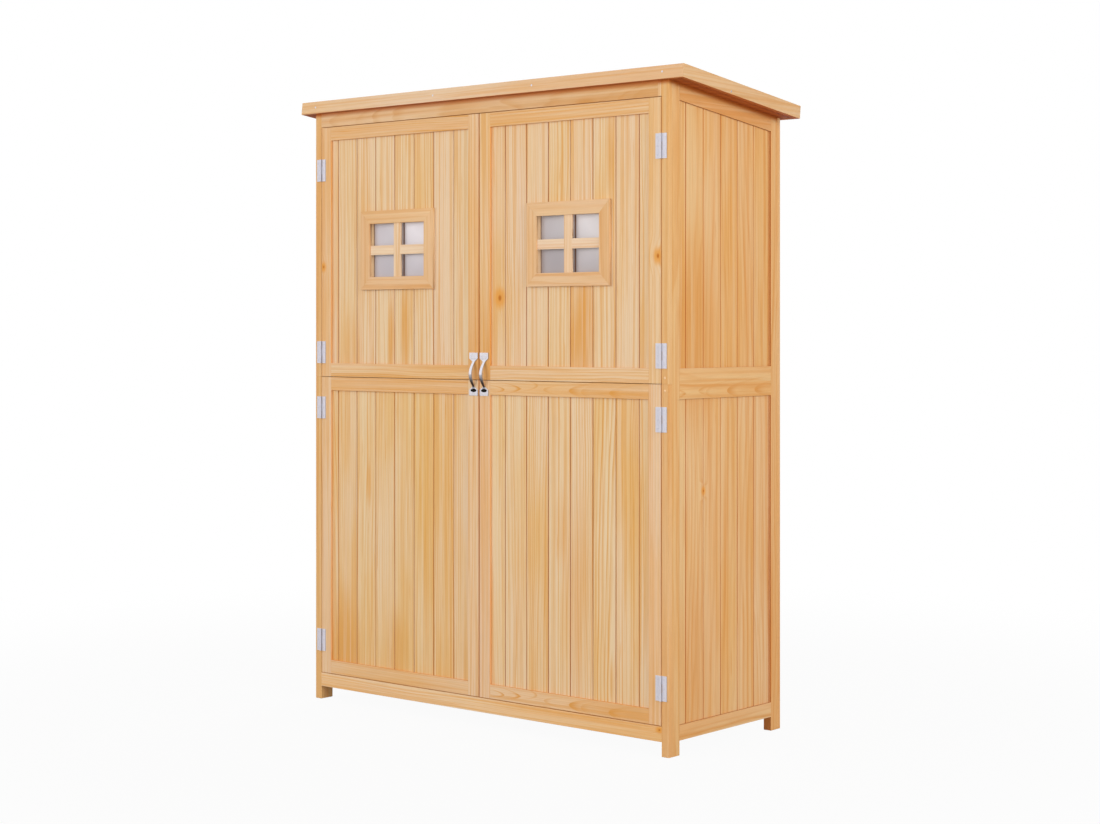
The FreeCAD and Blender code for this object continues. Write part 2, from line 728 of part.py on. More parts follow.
def at_hinges(shape):
    """Copies of a hinge piece at the four hinges of the right door."""
    copies = []
    for height in HINGE_MIDDLES:
        copy = shape.copy()
        copy.translate(V(PIN_X, PIN_Y, height))
        copies.append(copy)
    return copies


def hinges():
    """Butt hinges on the faces of posts and doors. The frame leaf has the outer knuckles."""
    outer = knuckles(0)
    inner = knuckles(1)
    frame_leaves = at_hinges(hinge_leaf(1, outer, inner))
    door_leaves = at_hinges(hinge_leaf(-1, inner, outer))
    pins = at_hinges(hinge_pin())
    return {
        "right_hinge_frame_leaves": frame_leaves,
        "left_hinge_frame_leaves": [mirrored(leaf) for leaf in frame_leaves],
        "right_hinge_door_leaves": door_leaves,
        "left_hinge_door_leaves": [mirrored(leaf) for leaf in door_leaves],
        "hinge_pins": pins + [mirrored(pin) for pin in pins],
    }


def joining_plates(left):
    """Steel plates on the back of both stiles, across the seam of one door."""
    plates = []
    for middle in (left + DOOR_STILE_WIDTH / 2, left + LEAF_WIDTH - DOOR_STILE_WIDTH / 2):
        plates.append(
            box(
                middle - JOINING_PLATE_WIDTH / 2, middle + JOINING_PLATE_WIDTH / 2,
                DOOR_THICKNESS, DOOR_THICKNESS + JOINING_PLATE_THICKNESS,
                SEAM - JOINING_PLATE_LENGTH / 2, SEAM + JOINING_PLATE_LENGTH / 2,
            )
        )
    return plates


def strike(middle):
    """Strike plate at the top of a door's back, in front of its catch."""
    top = DOOR_TOP - STRIKE_FROM_DOOR_TOP
    return box(
        middle - STRIKE_WIDTH / 2, middle + STRIKE_WIDTH / 2,
        DOOR_THICKNESS, DOOR_THICKNESS + STRIKE_THICKNESS, top - STRIKE_HEIGHT, top,
    )


def catches():
    """Magnetic catches on the back of the header, with a nose behind each strike plate."""
    bottom = HEADER_BOTTOM - CATCH_NOSE_HEIGHT
    nose_front = DOOR_THICKNESS + STRIKE_THICKNESS + CATCH_GAP
    body = box(
        CATCH_FROM_MIDDLE - CATCH_WIDTH / 2, CATCH_FROM_MIDDLE + CATCH_WIDTH / 2,
        DOOR_THICKNESS, DOOR_THICKNESS + CATCH_DEPTH, bottom, bottom + CATCH_HEIGHT,
    )
    body = body.cut(
        box(0, HALF_WIDTH, 0, nose_front, 0, HEADER_BOTTOM)
    )
    return {"door_catches": [below_roof(body), below_roof(mirrored(body))]}


def door(side_name, left, first_board, side):
    """One door: two framed panels with a window in the upper one. side is +1 on the right."""
    window_middle = side * WINDOW_MIDDLE_X
    lower_stiles, lower_rails, lower_boards = door_panel(
        left, first_board, DOOR_BOTTOM, LOWER_PANEL_TOP
    )
    upper_stiles, upper_rails, upper_boards = door_panel(
        left, first_board, UPPER_PANEL_BOTTOM, DOOR_TOP
    )
    x0, x1, z0, z1 = window_opening(window_middle)
    hole = groove_box(x0, x1, z0, z1)
    frame, bars, pane = window(window_middle)
    bow = handle()
    bow.translate(V(side * HANDLE_X, 0, HANDLE_Z))
    pieces = {
        "door_lower_stiles": lower_stiles,
        "door_lower_rails": lower_rails,
        "door_lower_boards": lower_boards,
        "door_upper_stiles": upper_stiles,
        "door_upper_rails": upper_rails,
        "door_upper_boards": [board.cut(hole) for board in upper_boards],
        "window_frame": frame,
        "window_glazing_bars": bars,
        "window_pane": [pane],
        "door_handle": [bow],
        "door_joining_plates": joining_plates(left),
        "door_strike_plate": [strike(side * CATCH_FROM_MIDDLE)],
    }
    return {side_name + "_" + name: shapes for name, shapes in pieces.items()}


def export(name, shapes):
    """Write one node, moved to the frame whose origin is under the middle of the model."""
    solids = solids_of(shapes)
    for solid in solids:
        if not solid.isValid() or solid.Volume <= 0:
            raise ValueError("a solid of " + name + " is not valid")
    shape = solids[0] if len(solids) == 1 else Part.makeCompound(solids)
    shape = shape.copy()
    shape.translate(V(0, -ORIGIN_Y, 0))
    shape.exportStep("parts/" + name + ".step")
    return len(solids), shape.BoundBox


def main():
    os.makedirs("parts", exist_ok=True)
    nodes = {}
    nodes.update(front_posts())
    nodes.update(front_rails())
    nodes.update(side_panels())
    nodes.update(back_panel())
    nodes.update(floor())
    nodes.update(shelf())
    nodes.update(roof())
    nodes.update(hinges())
    nodes.update(catches())
    nodes.update(door("left", -MEETING_EDGE - LEAF_WIDTH, LEFT_DOOR_FIRST_BOARD, -1))
    nodes.update(door("right", MEETING_EDGE, RIGHT_DOOR_FIRST_BOARD, 1))

    solids = 0
    whole = FreeCAD.BoundBox()
    for name, shapes in nodes.items():
        count, bounds = export(name, shapes)
        solids += count
        whole.add(bounds)
    print(len(nodes), "nodes,", solids, "solids")
    print("from", [round(value, 2) for value in (whole.XMin, whole.YMin, whole.ZMin)])
    print("to", [round(value, 2) for value in (whole.XMax, whole.YMax, whole.ZMax)])


main()
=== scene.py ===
import math
from collections import namedtuple

import bmesh
import bpy
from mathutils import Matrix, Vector


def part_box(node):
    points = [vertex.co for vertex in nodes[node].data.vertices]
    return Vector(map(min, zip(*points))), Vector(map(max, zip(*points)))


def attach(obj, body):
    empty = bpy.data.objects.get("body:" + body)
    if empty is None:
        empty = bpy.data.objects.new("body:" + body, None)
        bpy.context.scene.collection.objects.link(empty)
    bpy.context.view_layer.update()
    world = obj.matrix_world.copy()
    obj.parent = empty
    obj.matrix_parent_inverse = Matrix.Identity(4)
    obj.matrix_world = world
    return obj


# Looks of a garden storage cabinet. Metres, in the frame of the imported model: X to the right
# along the front, Y to the back, Z up. Colours are written as 0 to 255 sRGB values.

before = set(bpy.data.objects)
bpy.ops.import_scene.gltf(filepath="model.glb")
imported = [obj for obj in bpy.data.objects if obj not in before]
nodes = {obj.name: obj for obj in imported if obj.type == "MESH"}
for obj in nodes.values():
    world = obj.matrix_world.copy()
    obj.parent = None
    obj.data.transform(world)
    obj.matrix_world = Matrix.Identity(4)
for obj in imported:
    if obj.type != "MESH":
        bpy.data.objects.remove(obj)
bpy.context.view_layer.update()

# Sizes of the construction that the materials and fasteners follow
BOARD_PITCH = 0.0715
BOARD_HIDDEN_EDGE = 0.007
LEFT_DOOR_FIRST_BOARD = 0.0242
RIGHT_DOOR_FIRST_BOARD = 0.047
SIDE_FIRST_BOARD = 0.0308
BACK_FIRST_BOARD = 0.048
WINDOW_FRAME_WIDTH = 0.0335
GLAZING_BAR_HALF_WIDTH = 0.0125
DOOR_THICKNESS = 0.020
DOOR_STILE_WIDTH = 0.037
DOOR_RAIL_HEIGHT = 0.0365
DOOR_LOWER_RAIL_MIDDLES = (0.0902, 0.8637)
POST_FROM_MIDDLE = 0.596
SIDE_STILE_WIDTH = 0.030
SIDE_RAIL_MIDDLES = (0.0535, 0.8661, 0.9029, 1.585)
BACK_STILE_WIDTH = 0.030
BACK_RAIL_MIDDLES = (0.0535, 0.8845, 1.530)
PIN_FROM_MIDDLE = 0.58425
HINGE_MIDDLES = (0.1625, 0.8000, 0.9515, 1.4501)
HINGE_LEAF_THICKNESS = 0.0014
HANDLE_PLATE_THICKNESS = 0.0016
HANDLE_SLOT_FROM_END = 0.0134
ROOF_SLOPE = math.radians(6.8)
FASCIA_HEIGHT = 0.033

# Camera, from the straight edges in the photograph
CAMERA_PLACE = (3.4770, -4.05865, 1.0167)
CAMERA_TURN = 0.7031
CAMERA_LENS = 66.02
CAMERA_SHIFT = -0.0760


def linear(colour):
    """A 0 to 255 sRGB colour as the linear colour that shaders take."""
    parts = []
    for value in colour:
        share = value / 255
        parts.append(share / 12.92 if share <= 0.04045 else ((share + 0.055) / 1.055) ** 2.4)
    return (*parts, 1.0)


class Shader:
    """One material, with short names for the nodes that it is made of."""

    def __init__(self, name):
        self.material = bpy.data.materials.new(name)
        self.material.use_nodes = True
        self.tree = self.material.node_tree
        self.surface = self.tree.nodes["Principled BSDF"]
        place = self.node("ShaderNodeTexCoord").outputs["Object"]
        split = self.node("ShaderNodeSeparateXYZ", {0: place})
        self.place = place
        self.axes = {"X": split.outputs[0], "Y": split.outputs[1], "Z": split.outputs[2]}

    def put(self, socket, value):
        """Link a socket to another node, or set its value."""
        if isinstance(value, bpy.types.NodeSocket):
            self.tree.links.new(value, socket)
        else:
            socket.default_value = value

    def node(self, kind, inputs=None, **settings):
        made = self.tree.nodes.new(kind)
        for name, value in settings.items():
            setattr(made, name, value)
        for key, value in (inputs or {}).items():
            self.put(made.inputs[key], value)
        return made

    def math(self, operation, *values):
        inputs = dict(enumerate(values))
        return self.node("ShaderNodeMath", inputs, operation=operation).outputs[0]

    def times(self, first, second):
        return self.math("MULTIPLY", first, second)

    def minus(self, first, second):
        return self.math("SUBTRACT", first, second)

    def size(self, value):
        """A value without its sign."""
        return self.math("ABSOLUTE", value)

    def total(self, *values):
        result = values[0]
        for value in values[1:]:
            result = self.math("ADD", result, value)
        return result

    def reach(self, first, second):
        """The length of the diagonal of two sides."""
        squares = self.total(self.math("POWER", first, 2.0), self.math("POWER", second, 2.0))
        return self.math("SQRT", squares)

    def vector(self, x, y, z):
        return self.node("ShaderNodeCombineXYZ", {0: x, 1: y, 2: z}).outputs[0]

    def scaled_place(self, scale):
        """The place, with all three axes scaled alike."""
        return self.node("ShaderNodeVectorMath", {0: self.place, 3: scale}, operation="SCALE").outputs[0]

    def noise(self, vector, detail=2.0, roughness=0.5):
        """Soft noise from 0 to 1 with features about one unit of the vector wide."""
        inputs = {"Vector": vector, "Scale": 1.0, "Detail": detail, "Roughness": roughness}
        return self.node("ShaderNodeTexNoise", inputs).outputs["Fac"]

    def random(self, vector):
        """Three random numbers that stay the same where the vector does."""
        colour = self.node("ShaderNodeTexWhiteNoise", {"Vector": vector}).outputs["Color"]
        return self.node("ShaderNodeSeparateColor", {0: colour}).outputs

    def between(self, share, low, high):
        """A value that is low where the share is 0 and high where it is 1."""
        return self.math("MULTIPLY_ADD", share, high - low, low)

    def fade(self, value, low, high, to_low=0.0, to_high=1.0):
        """A smooth step from to_low at low to to_high at high."""
        inputs = {"Value": value, 1: low, 2: high, 3: to_low, 4: to_high}
        made = self.node("ShaderNodeMapRange", inputs, interpolation_type="SMOOTHSTEP")
        return made.outputs[0]

    def mix(self, share, first, second):
        """A value between two values."""
        return self.node("ShaderNodeMix", {0: share, 2: first, 3: second}).outputs[0]

    def tint(self, share, first, second, blend_type="MIX"):
        """A colour between two colours, which the Mix node takes in sockets 6 and 7."""
        inputs = {0: share, 6: first, 7: second}
        made = self.node("ShaderNodeMix", inputs, data_type="RGBA", blend_type=blend_type)
        return made.outputs[2]

    def bump(self, height, distance, strength=1.0):
        inputs = {"Height": height, "Distance": distance, "Strength": strength}
        return self.node("ShaderNodeBump", inputs).outputs["Normal"]

    def looks_along(self, axis):
        """How far a face looks along an axis, from -1 to 1."""
        facing = self.node("ShaderNodeTexCoord").outputs["Normal"]
        return self.node("ShaderNodeSeparateXYZ", {0: facing}).outputs["XYZ".index(axis)]

    def below_roof(self):
        """How far down a point is from the plane of the roof's underside."""
        low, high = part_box("roof_front_fascia")
        front = low.y + FASCIA_HEIGHT * math.sin(ROOF_SLOPE)
        height = high.z - FASCIA_HEIGHT / math.cos(ROOF_SLOPE) + front * math.tan(ROOF_SLOPE)
        fall = self.times(self.axes["Y"], math.tan(ROOF_SLOPE))
        return self.minus(height, self.total(fall, self.axes["Z"]))

    def finish(self, **inputs):
        for name, value in inputs.items():
            self.put(self.surface.inputs[name.replace("_", " ")], value)
        return self.material


# Where a point of some pieces of wood is: along the grain, across it from the middle of its
# piece and in the frame, through the wood, in which piece, and how far from the nearest joint
Spot = namedtuple("Spot", "along across shown_across depth piece to_joint")


def whole(grain, across, depth, middles, width=None):
    """Where a shader finds pieces of wood that lie beside each other, with their middles.

    With a width they are a pair, and their outer edges count as joints.
    """

    def find(shader):
        piece = 0.0
        middle = middles[0]
        for before, after in zip(middles, middles[1:]):
            past = shader.math("GREATER_THAN", shader.axes[across], (before + after) / 2)
            piece = shader.total(piece, past)
            middle = shader.total(middle, shader.times(past, after - before))
        beside = shader.minus(shader.axes[across], middle)
        to_edge = None
        if width:
            outward = shader.times(beside, shader.between(piece, -1.0, 1.0))
            to_edge = shader.minus(width / 2, outward)
        return Spot(shader.axes[grain], beside, shader.axes[across], shader.axes[depth], piece, to_edge)

    return find


def pair(node, axis, width):
    """Middles of the two outer pieces of a node."""
    low, high = (getattr(corner, axis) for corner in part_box(node))
    return [low + width / 2, high - width / 2]


def row(node, axis, count):
    """Middles of equal pieces that fill a node side by side."""
    low, high = (getattr(corner, axis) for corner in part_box(node))
    return [low + (high - low) * (index + 0.5) / count for index in range(count)]


def first_joint(node, axis, first_board):
    return getattr(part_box(node)[0], axis) + BOARD_HIDDEN_EDGE + first_board


def boarded(across, depth, joint, borders=()):
    """Where a shader finds the upright boards of a row, with joints at the board pitch.

    Borders are the edges of the frame round them, which count as joints.
    """

    def find(shader):
        count = shader.math("DIVIDE", shader.minus(shader.axes[across], joint), BOARD_PITCH)
        board = shader.math("FLOOR", count)
        beside = shader.times(shader.minus(count, shader.total(board, 0.5)), BOARD_PITCH)
        to_joint = shader.minus(BOARD_PITCH / 2, shader.size(beside))
        for border in borders:
            to_border = shader.size(shader.minus(shader.axes[across], border))
            to_joint = shader.math("MINIMUM", to_joint, to_border)
        return Spot(shader.axes["Z"], beside, shader.axes[across], shader.axes[depth], board, to_joint)

    return find


def mitred(middle, opening):
    """Where a shader finds the four members of a window frame, parted at the mitres."""

    def find(shader):
        beside = shader.minus(shader.axes["X"], middle.x)
        above = shader.minus(shader.axes["Z"], middle.z)
        past_side = shader.minus(shader.size(beside), opening.x)
        past_end = shader.minus(shader.size(above), opening.z)
        over = shader.minus(past_side, past_end)
        upright = shader.math("GREATER_THAN", over, 0.0)
        along = shader.mix(upright, shader.axes["X"], shader.axes["Z"])
        across = shader.mix(upright, above, beside)
        level_member = shader.math("SIGN", above)
        upright_member = shader.times(shader.math("SIGN", beside), 3.0)
        member = shader.mix(upright, level_member, upright_member)
        to_joint = shader.times(shader.size(over), math.sqrt(0.5))
        return Spot(along, across, across, shader.axes["Y"], member, to_joint)

    return find


def crossed(middle):
    """Where a shader finds the upright and the level glazing bar of a window."""

    def find(shader):
        beside = shader.minus(shader.axes["X"], middle.x)
        above = shader.minus(shader.axes["Z"], middle.z)
        upright = shader.math("LESS_THAN", shader.size(beside), GLAZING_BAR_HALF_WIDTH)
        along = shader.mix(upright, shader.axes["X"], shader.axes["Z"])
        across = shader.mix(upright, above, beside)
        return Spot(along, across, across, shader.axes["Y"], upright, None)

    return find


# Tones of the wood: palest, warmest, and the late wood of its rings
DOOR_BOARDS = ((227, 198, 161), (224, 179, 114), (216, 151, 68))
DOOR_FRAME = ((227, 193, 155), (225, 176, 117), (216, 151, 74))
FASCIA = ((224, 193, 157), (222, 178, 122), (213, 153, 86))
HEADER = ((224, 190, 151), (218, 172, 122), (204, 144, 80))
BOTTOM_RAIL = ((233, 199, 156), (231, 182, 118), (222, 157, 75))
TRIM = ((226, 190, 149), (223, 176, 125), (212, 151, 86))
GLAZING_BARS = ((232, 204, 172), (229, 191, 150), (217, 162, 102))
POSTS = ((224, 187, 138), (221, 169, 107), (210, 145, 74))
SIDE_BOARDS = ((222, 182, 133), (219, 164, 96), (207, 136, 60))
SIDE_FRAME = ((222, 181, 131), (219, 166, 106), (209, 143, 74))
INNER = ((225, 192, 148), (220, 174, 116), (208, 150, 82))
SIDE_FASCIA = ((217, 185, 145), (214, 170, 118), (204, 147, 84))
# The roof deck and battens are darker than the rest: partly their own tone, partly painted shade under the
# roof
DECK_WOOD = ((190, 100, 36), (174, 82, 22), (146, 62, 12))
# Painted shade on the undersides of the fascias
FASCIA_UNDERSIDE = (200, 104, 36)
KNOT_CORE = (186, 102, 28)
KNOT_HALO = (223, 152, 62)
# Dark joint lines, and also painted shadow under the roof and painted shade on the steps of the sides
JOINT_TONE = (168, 84, 18)
# Painted warm shade on the edge faces of the doors, header and bottom rail, seen in the gaps
SAWN_TONE = (226, 142, 52)

# Growth rings. The axis of the tree lies beside a straight piece and behind a flat-sawn one.
RING_SPACING = 0.0046
CLOSE_RING_SPACING = 0.0036
RING_UNEVENNESS = 3.2
STRAIGHT_AXIS_BESIDE = (0.08, 0.17)
STRAIGHT_AXIS_BEHIND = 0.02
STRAIGHT_LEAN = (-0.01, 0.01)
STRAIGHT_WANDER = 0.014
FLAT_AXIS_BESIDE = (-0.015, 0.015)
FLAT_AXIS_BEHIND = 0.06
FLAT_LEAN = (0.03, 0.05)
FLAT_WANDER = 0.024
AXIS_FURTHER_BEHIND = 0.025
DRIFT = 0.012
LATE_WOOD_RISE = (0.40, 0.90)
LATE_WOOD_END = (0.92, 1.0)
RING_DARKNESS = (0.2, 1.0)
RING_CONTRAST = (0.55, 1.05)
FLAT_CONTRAST = 0.7

# Knots, in multiples of their size: how far they push the rings and how far that reaches, and
# where core and halo fade. Distances along the grain count less, which makes knots long.
KNOT_PUSH = 0.9
KNOT_PUSH_REACH = 5.0
KNOT_CORE_FADE = (0.15, 0.7)
KNOT_CORE_SHARE = 0.9
KNOT_HALO_FADE = (0.7, 2.4)
KNOT_HALO_SHARE = 0.85
KNOT_ALONG_SCALE = 0.7

# Scales of the noise, in features per metre across and along the grain
WANDER = (9.0, 1.5)
PATCHES = (13.0, 2.6)
BANDS = (38.0, 0.9)
STREAKS = (120.0, 1.6)
MARKS = (190.0, 7.0)
FIBRES = (1300.0, 20.0)
DRIFT_SCALE = 1.1
UNEVENNESS_SCALE = 70.0
WEAR_SCALE = 40.0

# Numbers that keep the random values and the noises of a piece apart from each other
PIECE_STEP = 11.3
TRAITS, HABITS, OF_RING = 5.5, 9.5, 2.5
OF_DRIFT, OF_UNEVENNESS, OF_WEAR, OF_PATCHES = 3.3, 1.7, 7.7, 50.0

# How much a piece's own tone, the patches and the bands warm the wood or change its cast
PIECE_WARMTH = 0.35
PATCH_WARMTH = 1.5
BAND_WARMTH = 0.8
WARMTH_LEVEL = 0.645
PIECE_CAST = 0.4
BAND_CAST = 0.9
GREEN_CAST = (1.0, 0.95)
BLUE_CAST = (1.0, 1.12)

# Fades, from where to where, and where there are four values also from which share to which
DARK_STREAKS = (0.51, 0.64, 0.0, 0.42)
PALE_STREAKS = (0.34, 0.47, 0.48, 0.0)
RESIN_MARKS = (0.70, 0.78, 0.0, 0.5)
FIBRE_LIGHT = (0.3, 0.7, 0.95, 1.03)
FIBRE_ROUGHNESS = (0.2, 0.8, 0.48, 0.62)
STAIN_FADE = (0.2, 1.0)
ARCH_EDGE = (-0.003, 0.001)
ARCH_TIP = (0.003, 0.015, 1.0, 0.4)
JOINT_LINE = (0.0007, 0.0020)
JOINT_WEAR = (0.3, 0.6, 0.55, 1.0)
EAVES_SHADE = (0.002, 0.014)
SAWN_TURN = (0.3, 0.7)
UNDERSIDE_TURN = (-0.8, -0.5, 0.9, 0.0)

STAIN_RAGGEDNESS = 0.6
ARCH_RAGGEDNESS = 0.016
FIBRE_RELIEF = 0.5
LATE_WOOD_RELIEF = 0.35
RELIEF_DEPTH = 0.00025


class Wood(Shader):
    """Planed softwood. Each step of its figure is laid over the colour of the steps before."""

    def __init__(self, name, find, tones, seed):
        super().__init__(name)
        self.spot = find(self)
        self.pale, self.warm, self.late = (linear(tone) for tone in tones)
        self.traits = self.random(self.vector(self.spot.piece, seed, TRAITS))
        self.habits = self.random(self.vector(self.spot.piece, seed, HABITS))
        self.own = self.total(self.times(self.spot.piece, PIECE_STEP), seed)
        self.wander = self.grain_noise(WANDER, self.own, detail=3.0)
        self.streaks = self.grain_noise(STREAKS, self.own, detail=3.0)
        self.bands = self.grain_noise(BANDS, self.own)
        self.marks = self.grain_noise(MARKS, self.own, detail=1.0)
        self.fibres = self.grain_noise(FIBRES, self.times(self.spot.depth, FIBRES[0]))
        self.patches = self.grain_noise(PATCHES, self.total(self.own, OF_PATCHES), roughness=0.4)

    def grain_noise(self, scales, third, **settings):
        """Noise that is drawn out along the grain."""
        across = self.times(self.spot.across, scales[0])
        along = self.times(self.spot.along, scales[1])
        return self.noise(self.vector(across, along, third), **settings)

    def lay(self, share, tone):
        self.colour = self.tint(share, self.colour, tone)

    def from_axis(self, flames):
        """How far a point is from the axis of its tree."""
        self.flat_sawn = self.math("LESS_THAN", self.traits[0], flames)
        side = self.math("SIGN", self.minus(self.habits[0], 0.5))
        straight_beside = self.times(side, self.between(self.traits[1], *STRAIGHT_AXIS_BESIDE))
        flat_beside = self.between(self.traits[1], *FLAT_AXIS_BESIDE)
        sideways = self.minus(self.spot.across, self.mix(self.flat_sawn, straight_beside, flat_beside))
        straight_lean = self.between(self.habits[1], *STRAIGHT_LEAN)
        flat_lean = self.times(side, self.between(self.habits[1], *FLAT_LEAN))
        inward = self.total(
            self.mix(self.flat_sawn, STRAIGHT_AXIS_BEHIND, FLAT_AXIS_BEHIND),
            self.times(self.habits[2], AXIS_FURTHER_BEHIND),
            self.times(self.spot.along, self.mix(self.flat_sawn, straight_lean, flat_lean)),
            self.times(self.wander, self.mix(self.flat_sawn, STRAIGHT_WANDER, FLAT_WANDER)),
            self.spot.depth,
        )
        drift = self.noise(self.vector(self.own, self.times(self.spot.along, DRIFT_SCALE), OF_DRIFT))
        return self.total(self.reach(sideways, inward), self.times(drift, DRIFT))

    def push_round_knots(self, radius, knots):
        """Bend the rings round each knot, and find its core and its halo."""
        self.core = 0.0
        self.halo = 0.0
        for knot_along, knot_across, size in knots:
            beside = self.minus(self.spot.shown_across, knot_across)
            above = self.times(self.minus(self.spot.along, knot_along), KNOT_ALONG_SCALE)
            distance = self.reach(beside, above)
            push = self.fade(distance, 0.0, size * KNOT_PUSH_REACH, size * KNOT_PUSH, 0.0)
            radius = self.total(radius, push)
            core = self.fade(distance, *(size * end for end in KNOT_CORE_FADE), KNOT_CORE_SHARE, 0.0)
            self.core = self.math("MAXIMUM", self.core, core)
            halo = self.fade(distance, *(size * end for end in KNOT_HALO_FADE), KNOT_HALO_SHARE, 0.0)
            self.halo = self.math("MAXIMUM", self.halo, halo)
        return radius

    def find_late_wood(self, radius, spacing):
        """The dark part of each ring, which rises slowly and ends sharply."""
        uneven = self.noise(
            self.vector(self.times(radius, UNEVENNESS_SCALE), self.own, OF_UNEVENNESS), detail=1.0
        )
        turns = self.total(self.math("DIVIDE", radius, spacing), self.times(uneven, RING_UNEVENNESS))
        phase = self.math("FRACT", turns)
        ring = self.random(self.vector(self.math("FLOOR", turns), self.own, OF_RING))
        rise = self.fade(phase, *LATE_WOOD_RISE)
        late_wood = self.times(rise, self.fade(phase, *LATE_WOOD_END, 1.0, 0.0))
        self.late_wood = self.times(late_wood, self.between(ring[0], *RING_DARKNESS))

    def lay_ground(self, warming, variety):
        warmth = self.total(
            self.times(self.traits[2], PIECE_WARMTH * variety),
            self.times(self.patches, PATCH_WARMTH),
            self.times(self.bands, BAND_WARMTH),
            warming - WARMTH_LEVEL - PIECE_WARMTH / 2 * variety,
        )
        self.colour = self.pale
        self.lay(self.fade(warmth, 0.0, 1.0), self.warm)

    def lay_stains(self, stains):
        """Oval patches of the late tone with ragged ends: real stain, and on the side rails painted shade
        under the roof.
        """
        for stain_along, stain_across, long, wide, strength in stains:
            above = self.math("DIVIDE", self.minus(self.spot.along, stain_along), long)
            beside = self.math("DIVIDE", self.minus(self.spot.shown_across, stain_across), wide)
            ragged = self.total(
                self.reach(above, beside), self.times(self.streaks, STAIN_RAGGEDNESS), -STAIN_RAGGEDNESS / 2
            )
            self.lay(self.fade(ragged, *STAIN_FADE, strength, 0.0), self.late)

    def lay_arches(self, arches):
        """Single arches of a flat-sawn figure, sharp outside and faded inside."""
        for tip_along, tip_across, bend, fill, strength in arches:
            from_tip = self.size(self.minus(self.spot.shown_across, tip_across))
            bow = self.times(self.math("POWER", from_tip, 2.0), bend)
            past = self.minus(self.minus(self.spot.along, tip_along), bow)
            past = self.total(
                self.times(past, math.copysign(1.0, bend)),
                self.times(self.wander, ARCH_RAGGEDNESS),
                -ARCH_RAGGEDNESS / 2,
            )
            inside = self.fade(past, ARCH_EDGE[1], fill, strength, 0.0)
            line = self.times(self.fade(past, *ARCH_EDGE), inside)
            self.lay(self.times(line, self.fade(from_tip, *ARCH_TIP)), self.late)

    def lay_rings(self, contrast):
        strength = self.times(self.between(self.habits[0], *RING_CONTRAST), contrast)
        strength = self.times(strength, self.mix(self.flat_sawn, 1.0, FLAT_CONTRAST))
        self.lay(self.times(self.late_wood, strength), self.late)

    def lay_streaks(self):
        """Dark and pale streaks, and short marks of resin."""
        self.lay(self.fade(self.streaks, *DARK_STREAKS), self.late)
        self.lay(self.fade(self.streaks, *PALE_STREAKS), self.pale)
        self.lay(self.fade(self.marks, *RESIN_MARKS), self.late)

    def cast_fibres(self, variety):
        """Fine fibres, and a cast that differs from piece to piece and from band to band."""
        light = self.fade(self.fibres, *FIBRE_LIGHT)
        cast = self.total(
            self.times(self.traits[1], PIECE_CAST * variety),
            self.times(self.bands, BAND_CAST),
            -BAND_CAST / 2 - PIECE_CAST / 2 * variety,
        )
        green = self.times(light, self.between(cast, *GREEN_CAST))
        blue = self.times(light, self.between(cast, *BLUE_CAST))
        self.colour = self.tint(1.0, self.colour, self.vector(light, green, blue), "MULTIPLY")

    def lay_joints(self, strength):
        """Dark lines along the joints, worn in places."""
        part = self.math("ROUND", self.times(self.spot.shown_across, WEAR_SCALE))
        worn = self.noise(self.vector(part, self.spot.along, OF_WEAR))
        line = self.fade(self.spot.to_joint, *JOINT_LINE, self.fade(worn, *JOINT_WEAR), 0.0)
        self.lay(self.times(line, strength), linear(JOINT_TONE))

    # Painted shade on the faces that don't look along the axis, seen in gaps and steps.
    def lay_sawn_faces(self, planed_axis, strength, tone):
        planed = self.size(self.looks_along(planed_axis))
        self.lay(self.fade(planed, *SAWN_TURN, strength, 0.0), linear(tone))

    # Painted shadow of the roof, darkest just under it.
    def lay_eaves(self, strength):
        self.lay(self.fade(self.below_roof(), *EAVES_SHADE, strength, 0.0), linear(JOINT_TONE))

    # Painted shade on faces that look down, under the overhangs.
    def lay_undersides(self, tone):
        self.lay(self.fade(self.looks_along("Z"), *UNDERSIDE_TURN), linear(tone))


def wood(
    name, find, tones, seed=0.0, knots=(), stains=(), arches=(), contrast=0.85, spacing=RING_SPACING,
    flames=0.1, joint_strength=0.85, warming=0.0, variety=1.0, sawn=None, low_tone=None, eaves=0.0,
):
    """The wood of a node.

    Knots are (along, across, size), stains (along, across, length, width,
    strength) and arches (along, across, bend, length, strength). The patches are real stain, and on
    the side rails painted shade under the roof. flames is the share of pieces that are flat-sawn.
    sawn is the axis that the outer faces look along, and the share and the tone of painted
    shade on the other faces, which show only in gaps and steps. Faces that look down have the
    low_tone, painted shade under the overhangs. eaves is how dark the painted shadow
    of the roof is just under it.
    """
    made = Wood(name, find, tones, seed)
    made.find_late_wood(made.push_round_knots(made.from_axis(flames), knots), spacing)
    made.lay_ground(warming, variety)
    made.lay_stains(stains)
    made.lay_arches(arches)
    made.lay_rings(contrast)
    made.lay_streaks()
    made.cast_fibres(variety)
    if knots:
        made.lay(made.halo, linear(KNOT_HALO))
        made.lay(made.core, linear(KNOT_CORE))
    if made.spot.to_joint is not None:
        made.lay_joints(joint_strength)
    if sawn:
        made.lay_sawn_faces(*sawn)
    if eaves:
        made.lay_eaves(eaves)
    if low_tone:
        made.lay_undersides(low_tone)
    fibre_height = made.times(made.fibres, FIBRE_RELIEF)
    height = made.total(fibre_height, made.times(made.late_wood, LATE_WOOD_RELIEF))
    return made.finish(
        Base_Color=made.colour,
        Roughness=made.fade(made.fibres, *FIBRE_ROUGHNESS),
        Specular_IOR_Level=0.25,
        Normal=made.bump(height, RELIEF_DEPTH, 0.5),
    )


# Rounds on the edges of the wood
DOOR_EDGE = 0.0005
RAIL_EDGE = 0.0006
BOARD_EDGE = 0.0007
POST_EDGE = 0.0008
ONE_SKIN = 0.00002

